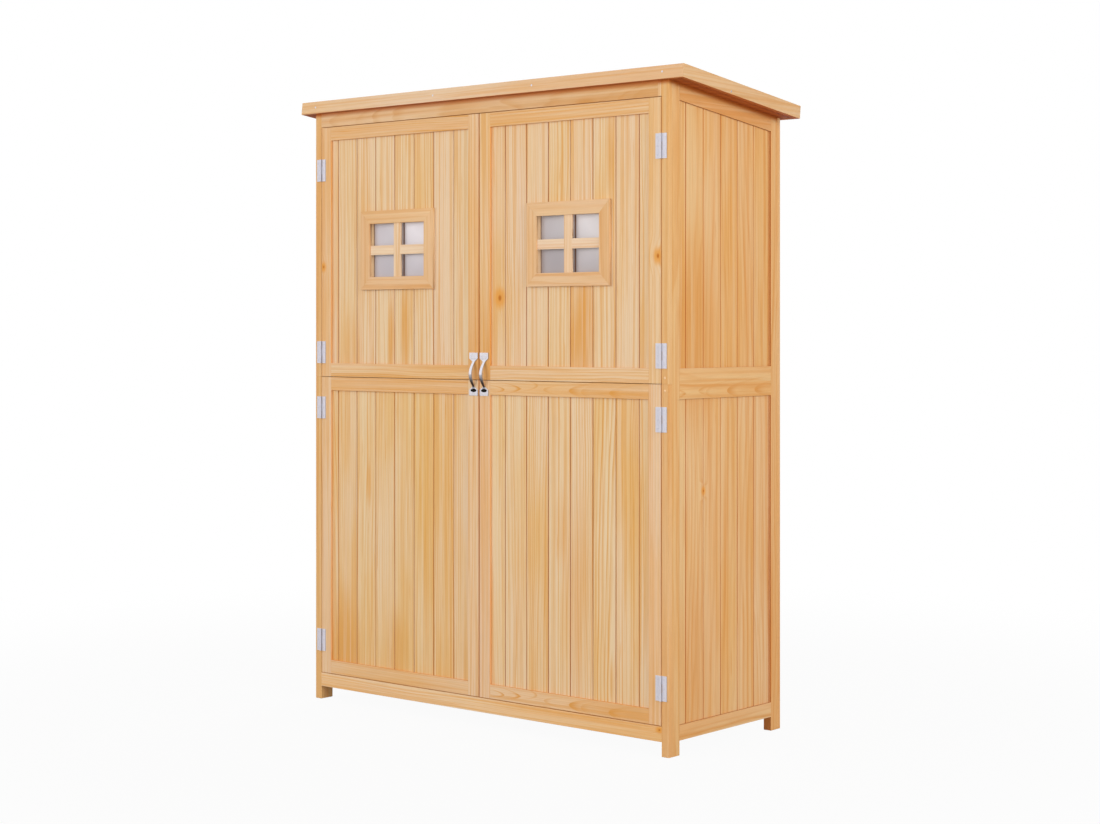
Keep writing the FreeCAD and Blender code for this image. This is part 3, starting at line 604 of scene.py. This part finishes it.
# Painted shade on edge faces that show in gaps and steps: the axis that the outer faces look along, and the
# share and tone of the other faces
LEVEL_EDGES = ("Y", 0.9, SAWN_TONE)
UPRIGHT_EDGES = ("Y", 0.5, SAWN_TONE)
SIDE_EDGES = ("X", 0.75, JOINT_TONE)


def join_skin(piece):
    """Join the corners that neighbouring faces of a CAD mesh share."""
    piece.modifiers.new("one skin", "WELD").merge_threshold = ONE_SKIN


def dress(node, material, edge=0.0):
    """Give a CAD node its material and, where its edges are eased, a small round on them."""
    piece = nodes[node]
    piece.data.materials.clear()
    piece.data.materials.append(material)
    if edge:
        join_skin(piece)
        bevel = piece.modifiers.new("eased edges", "BEVEL")
        bevel.width = edge
        bevel.segments = 2
        bevel.limit_method = "ANGLE"
        bevel.angle_limit = math.radians(50)
        bevel.use_clamp_overlap = True
        bevel.harden_normals = False
        piece.modifiers.new("flat faces", "WEIGHTED_NORMAL")


def dress_wood(node, find, tones, edge=0.0, material=None, **looks):
    """Dress a node in a wood of its own."""
    dress(node, wood(material or node + "_wood", find, tones, **looks), edge)


def dress_row(node, grain, across, depth, tones, count=1, edge=BOARD_EDGE, **looks):
    """Dress a node that is filled by a count of equal pieces, side by side."""
    find = whole(grain, across, depth, row(node, across.lower(), count))
    dress_wood(node, find, tones, edge, **looks)


def dress_door(side, seed, first_board, knots, stains, arches, board_flames, rail_contrast, warming):
    """Wood of one door, with painted shade on the edge faces of its frame. The places of knots, stain
    patches and arches are given for each row of wood.
    """
    door = side + "_door_"
    for half, half_seed in (("lower", 1.0), ("upper", 2.0)):
        boards, stiles, rails = (half + "_" + part for part in ("boards", "stiles", "rails"))
        own_seed = half_seed + seed
        joint = first_joint(door + boards, "x", first_board)
        dress_wood(
            door + boards, boarded("X", "Y", joint), DOOR_BOARDS, seed=own_seed,
            warming=warming[boards], flames=board_flames[half],
            knots=knots.get(boards, ()), stains=stains.get(boards, ()),
        )
        stile_middles = pair(door + stiles, "x", DOOR_STILE_WIDTH)
        dress_wood(
            door + stiles, whole("Z", "X", "Y", stile_middles, DOOR_STILE_WIDTH), DOOR_FRAME, DOOR_EDGE,
            seed=own_seed + 0.3, warming=warming[stiles], joint_strength=0.5, sawn=UPRIGHT_EDGES,
            knots=knots.get(stiles, ()), stains=stains.get(stiles, ()),
        )
        rail_middles = pair(door + rails, "z", DOOR_RAIL_HEIGHT)
        dress_wood(
            door + rails, whole("X", "Z", "Y", rail_middles), DOOR_FRAME, DOOR_EDGE,
            seed=own_seed + 0.6, warming=warming[rails], flames=0.0, spacing=CLOSE_RING_SPACING,
            contrast=rail_contrast[half], sawn=LEVEL_EDGES,
            stains=stains.get(rails, ()), arches=arches.get(rails, ()),
        )


# Arches of the right door's flat-sawn rails, from the rail's left end and its middle
RAIL_LEFT_END = 0.038
RAIL_ARCHES = [
    (0.048, -0.002, -420.0, 0.014, 0.95),
    (0.100, 0.001, -260.0, 0.018, 0.95),
    (0.104, 0.001, -900.0, 0.010, 0.8),
    (0.158, 0.010, -200.0, 0.012, 0.65),
    (0.180, 0.0, 300.0, 0.020, 0.5),
    (0.262, -0.001, 170.0, 0.040, 0.95),
    (0.300, -0.003, 120.0, 0.030, 0.45),
    (0.388, -0.004, 150.0, 0.040, 0.8),
    (0.391, -0.004, 800.0, 0.012, 0.95),
]

dress_door(
    "left",
    seed=0.0,
    first_board=LEFT_DOOR_FIRST_BOARD,
    knots={"upper_stiles": [(1.185, -0.576, 0.006)]},
    stains={
        "upper_stiles": [(0.889, -0.02, 0.28, 0.05, 0.66)],
        "upper_rails": [(-0.29, 1.548, 0.60, 0.10, 0.40)],
        "lower_rails": [(-0.29, 0.866, 0.60, 0.06, 0.25)],
        "lower_boards": [
            (0.12, -0.50, 0.26, 0.11, 0.65),
            (0.60, -0.405, 0.09, 0.012, 0.7),
            (0.16, -0.30, 0.16, 0.05, 0.5),
        ],
        "upper_boards": [
            (0.99, -0.322, 0.17, 0.016, 0.75),
            (1.01, -0.268, 0.17, 0.026, 0.6),
            (0.95, -0.47, 0.16, 0.05, 0.5),
        ],
    },
    arches={},
    board_flames={"lower": 0.1, "upper": 0.1},
    rail_contrast={"lower": 1.0, "upper": 1.3},
    warming={
        "lower_boards": 0.04, "lower_stiles": -0.16, "lower_rails": 0.14,
        "upper_boards": -0.27, "upper_stiles": -0.18, "upper_rails": -0.16,
    },
)
dress_door(
    "right",
    seed=10.0,
    first_board=RIGHT_DOOR_FIRST_BOARD,
    knots={
        "upper_boards": [(1.094, 0.067, 0.0115)],
        "upper_stiles": [(1.189, 0.574, 0.0085)],
    },
    stains={
        "upper_stiles": [(0.889, 0.02, 0.28, 0.05, 0.8)],
        "upper_rails": [(0.29, 1.548, 0.60, 0.10, 0.32)],
        "upper_boards": [
            (1.02, 0.345, 0.20, 0.05, 0.8),
            (0.98, 0.31, 0.11, 0.02, 0.7),
            (1.45, 0.43, 0.16, 0.03, 0.5),
        ],
        "lower_boards": [
            (0.34, 0.33, 0.36, 0.055, 0.45),
            (0.52, 0.27, 0.13, 0.03, 0.35),
            (0.16, 0.43, 0.08, 0.008, 0.7),
        ],
        "lower_rails": [(0.50, 0.862, 0.25, 0.06, 0.5), (0.50, 0.09, 0.25, 0.06, 0.45)],
    },
    arches={
        "lower_rails": [
            (RAIL_LEFT_END + along, middle + above, bend, fill, strength)
            for middle in DOOR_LOWER_RAIL_MIDDLES
            for along, above, bend, fill, strength in RAIL_ARCHES
        ],
    },
    board_flames={"lower": 0.1, "upper": 0.0},
    rail_contrast={"lower": 0.5, "upper": 1.3},
    warming={
        "lower_boards": -0.24, "lower_stiles": -0.30, "lower_rails": -0.18,
        "upper_boards": -0.21, "upper_stiles": -0.10, "upper_rails": -0.12,
    },
)

# Windows
for side, seed in (("left", 31.0), ("right", 37.0)):
    low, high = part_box(side + "_window_frame")
    middle = (low + high) / 2
    opening = (high - low) / 2 - Vector((WINDOW_FRAME_WIDTH, 0, WINDOW_FRAME_WIDTH))
    dress_wood(
        side + "_window_frame", mitred(middle, opening), TRIM, RAIL_EDGE,
        seed=seed, flames=0.0, joint_strength=0.05, variety=0.1, warming=0.12,
    )
    dress_wood(
        side + "_window_glazing_bars", crossed(middle), GLAZING_BARS, DOOR_EDGE,
        material=side + "_window_bars_wood", seed=seed + 2.0, warming=-0.25, contrast=0.6,
    )

# Front frame. The upper posts, the header and its filler have painted shadow under the roof, and the header
# and the bottom rail painted shade on their edge faces in the gaps.
for half, name, seed, warming, eaves in (
    ("lower", "front_post_wood", 41.0, 0.08, 0.0),
    ("upper", "upper_post_wood", 47.0, 0.2, 0.95),
):
    place = whole("Z", "X", "Y", [-POST_FROM_MIDDLE, POST_FROM_MIDDLE])
    post_wood = wood(name, place, POSTS, seed=seed, warming=warming, eaves=eaves)
    for side in ("left", "right"):
        dress(side + "_front_post_" + half, post_wood, edge=POST_EDGE)
dress_row(
    "front_header_rail", "X", "Z", "Y", HEADER, edge=RAIL_EDGE, material="header_wood",
    seed=53.0, warming=-0.05, sawn=LEVEL_EDGES, eaves=0.8,
    stains=[(0.60, 1.586, 0.85, 0.30, 0.5), (0.352, 1.571, 0.05, 0.012, 0.9)],
)
dress_row(
    "front_header_filler", "Z", "X", "Y", DOOR_FRAME, edge=DOOR_EDGE, material="filler_wood",
    seed=59.0, warming=-0.4, flames=0.0, eaves=0.95,
)
dress_row(
    "front_bottom_rail", "X", "Z", "Y", BOTTOM_RAIL, edge=RAIL_EDGE, material="bottom_rail_wood",
    seed=61.0, warming=-0.42, flames=0.0, spacing=CLOSE_RING_SPACING, sawn=LEVEL_EDGES,
    knots=[(0.5785, 0.063, 0.005)], stains=[(0.60, 0.055, 0.75, 0.30, 0.5)],
)

# Sides, with the arches of their wide middle rail, painted shade on the steps of their frames, and painted
# shadow under the roof
SIDE_ARCHES = [
    (-0.170, 0.861, -300.0, 0.020, 0.95),
    (-0.120, 0.866, 260.0, 0.030, 0.65),
    (-0.090, 0.862, 120.0, 0.020, 0.45),
    (0.000, 0.864, 150.0, 0.045, 0.95),
    (0.120, 0.864, 150.0, 0.045, 0.85),
    (0.124, 0.864, 700.0, 0.012, 0.95),
]
SIDE_BOARD_STAINS = [(1.02, -0.13, 0.32, 0.12, 0.5), (0.22, -0.13, 0.30, 0.10, 0.4)]
# Painted shade under the roof on each side's top rail, laid as a stain patch
SIDE_RAIL_STAINS = [(0.0, 1.575, 0.6, 0.14, 0.75)]
SIDE_KNOTS = {"right_side_lower_boards": [(0.623, -0.0922, 0.005)]}


def dress_side(side, seed):
    for half, half_seed, warming in (("lower", 0.0, -0.09), ("upper", 1.0, 0.18)):
        name = side + "_side_" + half + "_boards"
        joint = first_joint(name, "y", SIDE_FIRST_BOARD)
        rear_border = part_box(name)[1].y - BOARD_HIDDEN_EDGE
        dress_wood(
            name, boarded("Y", "X", joint, (rear_border,)), SIDE_BOARDS, seed=seed + half_seed,
            flames=0.0, contrast=0.65, joint_strength=1.0, warming=warming,
            knots=SIDE_KNOTS.get(name, ()), stains=SIDE_BOARD_STAINS,
        )
    stile_middles = pair(side + "_side_stiles", "y", SIDE_STILE_WIDTH)
    dress_wood(
        side + "_side_stiles", whole("Z", "Y", "X", stile_middles), SIDE_FRAME, POST_EDGE,
        seed=seed + 3.0, flames=0.05, warming=0.12, sawn=SIDE_EDGES, eaves=0.95,
    )
    dress_wood(
        side + "_side_rails", whole("Y", "Z", "X", SIDE_RAIL_MIDDLES), SIDE_FRAME, DOOR_EDGE,
        seed=seed + 5.0, flames=0.0, spacing=0.0040, warming=-0.1, contrast=1.1,
        arches=SIDE_ARCHES, stains=SIDE_RAIL_STAINS, sawn=SIDE_EDGES, eaves=0.95,
    )


dress_side("left", seed=71.0)
dress_side("right", seed=83.0)

# Back
back_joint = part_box("back_rails")[0].x + BACK_FIRST_BOARD
back_stile_middles = pair("back_stiles", "x", BACK_STILE_WIDTH)
dress_wood("back_boards", boarded("X", "Y", back_joint), SIDE_BOARDS, seed=91.0)
dress_wood("back_stiles", whole("Z", "X", "Y", back_stile_middles), SIDE_FRAME, POST_EDGE, seed=93.0)
dress_wood("back_rails", whole("X", "Z", "Y", BACK_RAIL_MIDDLES), SIDE_FRAME, RAIL_EDGE, seed=95.0)

# Roof and inside
# The fascias' undersides have painted shade.
dress_row(
    "roof_front_fascia", "X", "Z", "Y", FASCIA, seed=101.0, low_tone=FASCIA_UNDERSIDE,
    stains=[(0.65, 1.623, 0.75, 0.30, 0.36)], warming=-0.12,
)
dress_row("roof_back_fascia", "X", "Z", "Y", FASCIA, seed=102.0, low_tone=FASCIA_UNDERSIDE)
dress_row("roof_left_fascia", "Y", "Z", "X", SIDE_FASCIA, seed=103.0, low_tone=FASCIA_UNDERSIDE)
dress_row("roof_right_fascia", "Y", "Z", "X", SIDE_FASCIA, seed=104.0, low_tone=FASCIA_UNDERSIDE)
dress_row("floor_boards", "X", "Y", "Z", INNER, count=5, seed=111.0)
dress_row("floor_battens", "Y", "X", "Z", INNER, count=3, seed=112.0)
dress_row("shelf_boards", "X", "Y", "Z", INNER, count=4, seed=113.0)
dress_row("shelf_cleats", "Y", "X", "Z", INNER, count=3, seed=114.0)
# The deck and battens under the roof have partly painted shade.
dress_row("roof_deck", "X", "Y", "Z", DECK_WOOD, count=5, seed=117.0)
dress_row("roof_battens", "Y", "X", "Z", DECK_WOOD, count=3, seed=119.0)

# Metal
CLOUD_SCALE = 220.0
CLOUD_DIMMING = 0.93
BRUSH_SCALES = (2600.0, 2600.0, 60.0)
BRUSH_DEPTH = 0.00004
METAL_UNDERSIDE = (-0.55, -0.10, 1.0, 0.0)
METAL_ASIDE = (0.55, 0.9, 0.0, 0.6)


def metal(name, colour, roughness, metallic=1.0, brushed=0.0, low_tone=None, aside_tone=None):
    """Plated metal with faint cloudy changes of gloss.

    Faces that look down have the low_tone and those that look aside the aside_tone, as painted dark
    reflections.
    """
    shader = Shader(name)
    clouds = shader.noise(shader.scaled_place(CLOUD_SCALE), detail=4.0)
    brush = [shader.times(shader.axes[axis], scale) for axis, scale in zip("XYZ", BRUSH_SCALES)]
    lines = shader.noise(shader.vector(*brush))
    tone = linear(colour)
    dim = (*(CLOUD_DIMMING * part for part in tone[:3]), 1.0)
    colour = shader.tint(clouds, tone, dim)
    if low_tone:
        share = shader.fade(shader.looks_along("Z"), *METAL_UNDERSIDE)
        colour = shader.tint(share, colour, linear(low_tone))
    if aside_tone:
        share = shader.fade(shader.size(shader.looks_along("X")), *METAL_ASIDE)
        colour = shader.tint(share, colour, linear(aside_tone))
    return shader.finish(
        Base_Color=colour,
        Metallic=metallic,
        Roughness=shader.fade(clouds, 0.3, 0.7, roughness * 0.85, roughness * 1.15),
        Normal=shader.bump(lines, BRUSH_DEPTH, brushed),
    )


def smooth_shading(limit):
    """A modifier's node group that shades faces smooth across edges flatter than a limit."""
    group = bpy.data.node_groups.new("smooth_shading", "GeometryNodeTree")
    for way in ("INPUT", "OUTPUT"):
        group.interface.new_socket("Geometry", in_out=way, socket_type="NodeSocketGeometry")
    enter = group.nodes.new("NodeGroupInput")
    leave = group.nodes.new("NodeGroupOutput")
    bend = group.nodes.new("GeometryNodeInputMeshEdgeAngle")
    flatter = group.nodes.new("ShaderNodeMath")
    flatter.operation = "LESS_THAN"
    flatter.inputs[1].default_value = limit
    edges = group.nodes.new("GeometryNodeSetShadeSmooth")
    edges.domain = "EDGE"
    faces = group.nodes.new("GeometryNodeSetShadeSmooth")
    for source, target in (
        (bend.outputs[0], flatter.inputs[0]),
        (flatter.outputs[0], edges.inputs["Shade Smooth"]),
        (enter.outputs[0], edges.inputs[0]),
        (edges.outputs[0], faces.inputs[0]),
        (faces.outputs[0], leave.inputs[0]),
    ):
        group.links.new(source, target)
    return group


# Painted dark reflections: on the chrome where it looks down or aside, on the zinc where it looks aside.
CHROME_REFLECTION = (92, 70, 58)
ZINC_REFLECTION = (112, 108, 118)
smooth = smooth_shading(limit=math.radians(38))
# A dark piece in the lower slot of each handle, painted shadow.
dark_steel = metal("blackened_steel", (38, 34, 32), roughness=0.5)
zinc = metal(
    "zinc_plate", (224, 221, 230), roughness=0.6, metallic=0.25, brushed=0.4, aside_tone=ZINC_REFLECTION,
)
pale_brass = metal("pale_brass", (250, 214, 168), roughness=0.6, metallic=0.25)
chrome = metal(
    "bright_chrome", (238, 234, 240), roughness=0.22,
    low_tone=CHROME_REFLECTION, aside_tone=CHROME_REFLECTION,
)
for name in sorted(nodes):
    if "hinge" in name or "joining_plates" in name or "strike_plate" in name:
        dress(name, zinc)
    if name.endswith("handle"):
        dress(name, chrome)
    if "hinge" in name or name.endswith("handle"):
        join_skin(nodes[name])
        nodes[name].modifiers.new("smooth curves", "NODES").node_group = smooth

# Fasteners
HEAD_CORNERS = 24
CROSS_ARM_CORNERS = 3
CROSS_WAIST = 0.36
TINY = 1e-9


def circle(radius):
    angles = [math.tau * index / HEAD_CORNERS for index in range(HEAD_CORNERS)]
    return [(radius * math.cos(angle), radius * math.sin(angle)) for angle in angles]


def cross(reach):
    """A cross recess seen from above, with as many corners as the circle round it."""
    points = []
    for index, (x, y) in enumerate(circle(reach)):
        on_arm = (index + 1) % (HEAD_CORNERS // 4) < CROSS_ARM_CORNERS
        share = 1.0 if on_arm else CROSS_WAIST
        points.append((x * share, y * share))
    return points


def oval(length, height):
    return [(x * length / height, y) for x, y in circle(height / 2)]


def oblong(length, height):
    """A circle parted in the middle, whose top and bottom corners go to the right end."""
    ends = (length - height) / 2
    return [(x + math.copysign(ends, x + TINY), y) for x, y in circle(height / 2)]


def stack(shape, place, facing, rings):
    """Skin closed outlines that lie at heights above a place, and close both ends."""
    turn = facing.to_track_quat("Z", "Y")
    loops = []
    for outline, height in rings:
        loops.append([shape.verts.new(place + turn @ Vector((x, y, height))) for x, y in outline])
    for low, high in zip(loops, loops[1:]):
        for index in range(len(low)):
            after = (index + 1) % len(low)
            shape.faces.new((low[index], low[after], high[after], high[index]))
    shape.faces.new(loops[0][::-1])
    shape.faces.new(loops[-1])


def screw_rings(radius, rise):
    """A raised head with a cross recess that ends just above the wood."""
    return [
        (circle(radius), 0.0),
        (circle(radius * 0.97), rise * 0.35),
        (circle(radius * 0.82), rise * 0.80),
        (circle(radius * 0.62), rise),
        (cross(radius * 0.56), rise),
        (cross(radius * 0.44), rise * 0.15),
    ]


def nail_rings(radius, rise):
    return [(circle(radius), 0.0), (circle(radius * 0.9), rise * 0.7), (circle(radius * 0.5), rise)]


def fasteners(name, body, material, places, rings):
    """One piece for the heads that lie alike on one body. places are points and directions."""
    shape = bmesh.new()
    for place, facing in places:
        stack(shape, Vector(place), Vector(facing), rings)
    mesh = bpy.data.meshes.new(name)
    shape.to_mesh(mesh)
    shape.free()
    mesh.materials.append(material)
    piece = bpy.data.objects.new(name, mesh)
    bpy.context.scene.collection.objects.link(piece)
    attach(piece, body)


FRONT = (0, -1, 0)
door_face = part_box("left_door_joining_plates")[0].y - DOOR_THICKNESS
leaf_face = door_face - HINGE_LEAF_THICKNESS
plate_face = door_face - HANDLE_PLATE_THICKNESS

# Screws of the hinge leaves
HINGE_SCREW_FROM_PIN = 0.0102
HINGE_SCREW_STEPS = (-0.021, 0.0, 0.021)
HINGE_SCREW = screw_rings(radius=0.0029, rise=0.0004)


def hinge_screws(side, sign, part, body, from_pin):
    places = [
        ((sign * (PIN_FROM_MIDDLE + from_pin), leaf_face, height + step), FRONT)
        for height in HINGE_MIDDLES
        for step in HINGE_SCREW_STEPS
    ]
    fasteners(side + "_hinge_" + part + "_screws", body, zinc, places, HINGE_SCREW)


# Fixings in the end plates of the handles, as outlines and their heights above the plate. The lower fixing
# is dark, painted shadow in its slot.
SLOT = oblong(length=0.0158, height=0.0063)
SLOT_BODY = [(SLOT, -0.0014), (SLOT, 0.0)]
UPPER_FIXING = SLOT_BODY + [(oblong(0.0150, 0.0055), 0.0001)]
LOWER_FIXING = SLOT_BODY + [(oval(0.0200, 0.0088), 0.0001), (oval(0.0192, 0.0080), 0.0003)]


def handle_fixings(side):
    low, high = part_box(side + "_door_handle")
    middle = (low.x + high.x) / 2
    for end, height, material, rings in (
        ("upper", high.z - HANDLE_SLOT_FROM_END, chrome, UPPER_FIXING),
        ("lower", low.z + HANDLE_SLOT_FROM_END, dark_steel, LOWER_FIXING),
    ):
        name = side + "_door_handle_" + end + "_fixing"
        places = [((middle, plate_face, height), FRONT)]
        fasteners(name, side + "_door", material, places, rings)


for side, sign in (("left", -1), ("right", 1)):
    hinge_screws(side, sign, "door", side + "_door", -HINGE_SCREW_FROM_PIN)
    hinge_screws(side, sign, "frame", "root", HINGE_SCREW_FROM_PIN)
    handle_fixings(side)

# Screws beside the seam
POST_SCREW_ACROSS = 0.5945
POST_SCREW_HEIGHTS = (0.8684, 0.8994)
fasteners(
    "right_post_screws", "root", pale_brass,
    [((POST_SCREW_ACROSS, door_face, height), FRONT) for height in POST_SCREW_HEIGHTS],
    screw_rings(radius=0.0030, rise=0.0010),
)

# Nails of the fascia, as places along it and heights
FRONT_NAILS = ((-0.6003, 1.624), (-0.1564, 1.624), (0.1839, 1.624), (0.5922, 1.625))
BACK_NAILS = ((-0.60, 1.565), (-0.17, 1.565), (0.17, 1.565), (0.60, 1.565))
SIDE_NAIL = (-0.0502, 1.5905)


def fascia_nails():
    forward = Vector((0, -math.cos(ROOF_SLOPE), math.sin(ROOF_SLOPE)))
    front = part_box("roof_front_fascia")[0]
    nails = [
        ((x, front.y + (z - front.z) * math.tan(ROOF_SLOPE), z), forward) for x, z in FRONT_NAILS
    ]
    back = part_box("roof_back_fascia")[1]
    nails += [
        ((x, back.y - (back.z - z) * math.tan(ROOF_SLOPE), z), -forward) for x, z in BACK_NAILS
    ]
    side_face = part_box("roof_right_fascia")[1].x
    nails += [((sign * side_face, *SIDE_NAIL), (sign, 0, 0)) for sign in (-1, 1)]
    rings = nail_rings(radius=0.0027, rise=0.0007)
    fasteners("fascia_nails", "root", zinc, nails, rings)


fascia_nails()

# Plastics and felt
# Painted shadow of the jamb beside the left edge of each light of a pane
SEALANT_TONE = (118, 88, 72)
SEALANT_STRIP = (0.0015, 0.0035)
CATCH_TONES = ((104, 72, 48), (92, 62, 40))
CATCH_GRAIN_SCALE = 1800.0
FELT_TONES = ((58, 68, 58), (112, 122, 106))
FELT_PATCH_TONE = (84, 88, 80)
GRANULE_SCALE = 620.0

# How much a pane gets paler upwards, to the right and to its upper right corner, which is painted
# reflection, and in its haze
PANE_PALER = (0.25, 0.25, 0.7, 0.3)
PANE_LEVEL = -0.06


def catch_plastic():
    """Brown moulded plastic with a fine spark-eroded grain."""
    shader = Shader("catch_plastic")
    grain = shader.noise(shader.scaled_place(CATCH_GRAIN_SCALE))
    colour = shader.tint(shader.fade(grain, 0.3, 0.7), *(linear(tone) for tone in CATCH_TONES))
    return shader.finish(Base_Color=colour, Roughness=0.5, Normal=shader.bump(grain, 0.00005, 0.5))


def pane_plastic(name, low, high, strip_places, tones):
    """Hazy acrylic sheet, paler towards the upper right by a painted reflection, with a painted shadow of
    the jamb in a dark strip beside the left edge of each light on its front face.
    """
    shader = Shader(name)
    low_tone, high_tone = (linear(tone) for tone in tones)
    rise = shader.fade(shader.axes["Z"], low.z, high.z)
    run = shader.fade(shader.axes["X"], low.x, high.x)
    haze = shader.noise(shader.scaled_place(9.0))
    parts = (rise, run, shader.times(rise, run), haze)
    paler = [shader.times(part, weight) for part, weight in zip(parts, PANE_PALER)]
    share = shader.total(*paler, PANE_LEVEL)
    colour = shader.tint(share, low_tone, high_tone)
    front = shader.math("LESS_THAN", shader.axes["Y"], (low.y + high.y) / 2)
    for place in strip_places:
        past = shader.size(shader.minus(shader.axes["X"], place))
        strip = shader.times(front, shader.fade(past, *SEALANT_STRIP, 1.0, 0.0))
        colour = shader.tint(strip, colour, linear(SEALANT_TONE))
    return shader.finish(Base_Color=colour, Roughness=0.32)


def roof_felt():
    """Mineral felt: dark bitumen under fine green-grey granules."""
    shader = Shader("mineral_felt")
    cells = shader.node("ShaderNodeTexVoronoi", {"Vector": shader.scaled_place(GRANULE_SCALE), "Scale": 1.0})
    tone = shader.node("ShaderNodeSeparateColor", {0: cells.outputs["Color"]}).outputs[0]
    colour = shader.tint(tone, *(linear(end) for end in FELT_TONES))
    patches = shader.fade(shader.noise(shader.scaled_place(5.0), detail=3.0), 0.3, 0.7, 0.0, 0.35)
    colour = shader.tint(patches, colour, linear(FELT_PATCH_TONE))
    height = shader.minus(1.0, cells.outputs["Distance"])
    return shader.finish(Base_Color=colour, Roughness=0.95, Normal=shader.bump(height, 0.0006, 0.9))


dress("door_catches", catch_plastic(), edge=POST_EDGE)
dress("roof_felt", roof_felt())
for side, tones in (
    ("left", ((177, 170, 176), (232, 226, 230))),
    ("right", ((158, 150, 153), (222, 216, 217))),
):
    name = side + "_window_pane"
    low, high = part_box(side + "_window_frame")
    left_edges = (low.x + WINDOW_FRAME_WIDTH, (low.x + high.x) / 2 + GLAZING_BAR_HALF_WIDTH)
    dress(name, pane_plastic(name + "_acrylic", *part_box(name), left_edges, tones))

# Studio. The floor turns white between two distances from the middle.
FLOOR_TONE = (165, 165, 165)
FLOOR_OWN_LIGHT = 0.95
FLOOR_RADIUS = 14.0
FLOOR_BELOW_FEET = 0.0003
FLOOR_WHITENS = (1.0, 3.0)
AMBIENT = 0.465

# Name, place, size and power of each lamp
LAMPS = [
    ("key_light", (-4.0, -6.8, 3.6), 3.6, 236.0),
    ("low_light", (4.6, -6.8, 0.8), 2.6, 233.0),
    ("fill_light", (7.4, -1.6, 2.9), 3.6, 281.0),
    ("back_light", (-2.4, 7.2, 3.0), 3.6, 430.0),
]
LAMPS_AIM_AT = Vector((0, 0, 0.8))


def floor_material():
    """Pale floor that keeps shadows near the object and is white further off."""
    shader = Shader("studio_floor")
    rays = shader.node("ShaderNodeLightPath").outputs
    seen = shader.math("MAXIMUM", rays["Is Camera Ray"], rays["Is Transmission Ray"])
    shader.finish(Base_Color=linear(FLOOR_TONE), Roughness=0.9)
    white = shader.node("ShaderNodeEmission", {"Color": (1, 1, 1, 1), "Strength": 1.0})
    away = shader.node("ShaderNodeVectorMath", {0: shader.place}, operation="LENGTH").outputs["Value"]
    share = shader.times(seen, shader.fade(away, *FLOOR_WHITENS, FLOOR_OWN_LIGHT, 1.0))
    blended = shader.node(
        "ShaderNodeMixShader", {0: share, 1: shader.surface.outputs[0], 2: white.outputs[0]}
    )
    output = shader.tree.nodes["Material Output"]
    shader.tree.links.new(blended.outputs[0], output.inputs["Surface"])
    return shader.material


def studio_floor():
    mesh = bpy.data.meshes.new("studio_floor")
    shape = bmesh.new()
    bmesh.ops.create_circle(shape, cap_ends=True, segments=96, radius=FLOOR_RADIUS)
    shape.to_mesh(mesh)
    shape.free()
    floor = bpy.data.objects.new("studio_floor", mesh)
    floor.location = (0, 0, -FLOOR_BELOW_FEET)
    mesh.materials.append(floor_material())
    bpy.context.scene.collection.objects.link(floor)


def studio_surroundings():
    """White where they are seen, and soft plain light elsewhere."""
    world = bpy.data.worlds.new("studio_light")
    world.use_nodes = True
    tree = world.node_tree
    background = tree.nodes["Background"]
    background.inputs["Color"].default_value = (1, 1, 1, 1)
    rays = tree.nodes.new("ShaderNodeLightPath").outputs
    seen = rays["Is Camera Ray"]
    for kind in ("Is Glossy Ray", "Is Transmission Ray"):
        either = tree.nodes.new("ShaderNodeMath")
        either.operation = "MAXIMUM"
        tree.links.new(seen, either.inputs[0])
        tree.links.new(rays[kind], either.inputs[1])
        seen = either.outputs[0]
    level = tree.nodes.new("ShaderNodeMapRange")
    level.inputs["To Min"].default_value = AMBIENT
    tree.links.new(seen, level.inputs["Value"])
    tree.links.new(level.outputs[0], background.inputs["Strength"])
    bpy.context.scene.world = world


def studio_lamp(name, place, size, power):
    light = bpy.data.lights.new(name, "AREA")
    light.shape = "SQUARE"
    light.size = size
    light.energy = power
    lamp = bpy.data.objects.new(name, light)
    lamp.location = place
    lamp.rotation_mode = "QUATERNION"
    lamp.rotation_quaternion = (LAMPS_AIM_AT - Vector(place)).to_track_quat("-Z", "Y")
    lamp.visible_glossy = False
    bpy.context.scene.collection.objects.link(lamp)


def studio_camera():
    camera = bpy.data.cameras.new("camera")
    camera.lens = CAMERA_LENS
    camera.shift_y = CAMERA_SHIFT
    holder = bpy.data.objects.new("camera", camera)
    holder.location = CAMERA_PLACE
    holder.rotation_euler = (math.pi / 2, 0, CAMERA_TURN)
    bpy.context.scene.collection.objects.link(holder)
    bpy.context.scene.camera = holder


studio_floor()
studio_surroundings()
for lamp in LAMPS:
    studio_lamp(*lamp)
studio_camera()
bpy.context.scene.view_settings.view_transform = "Standard"
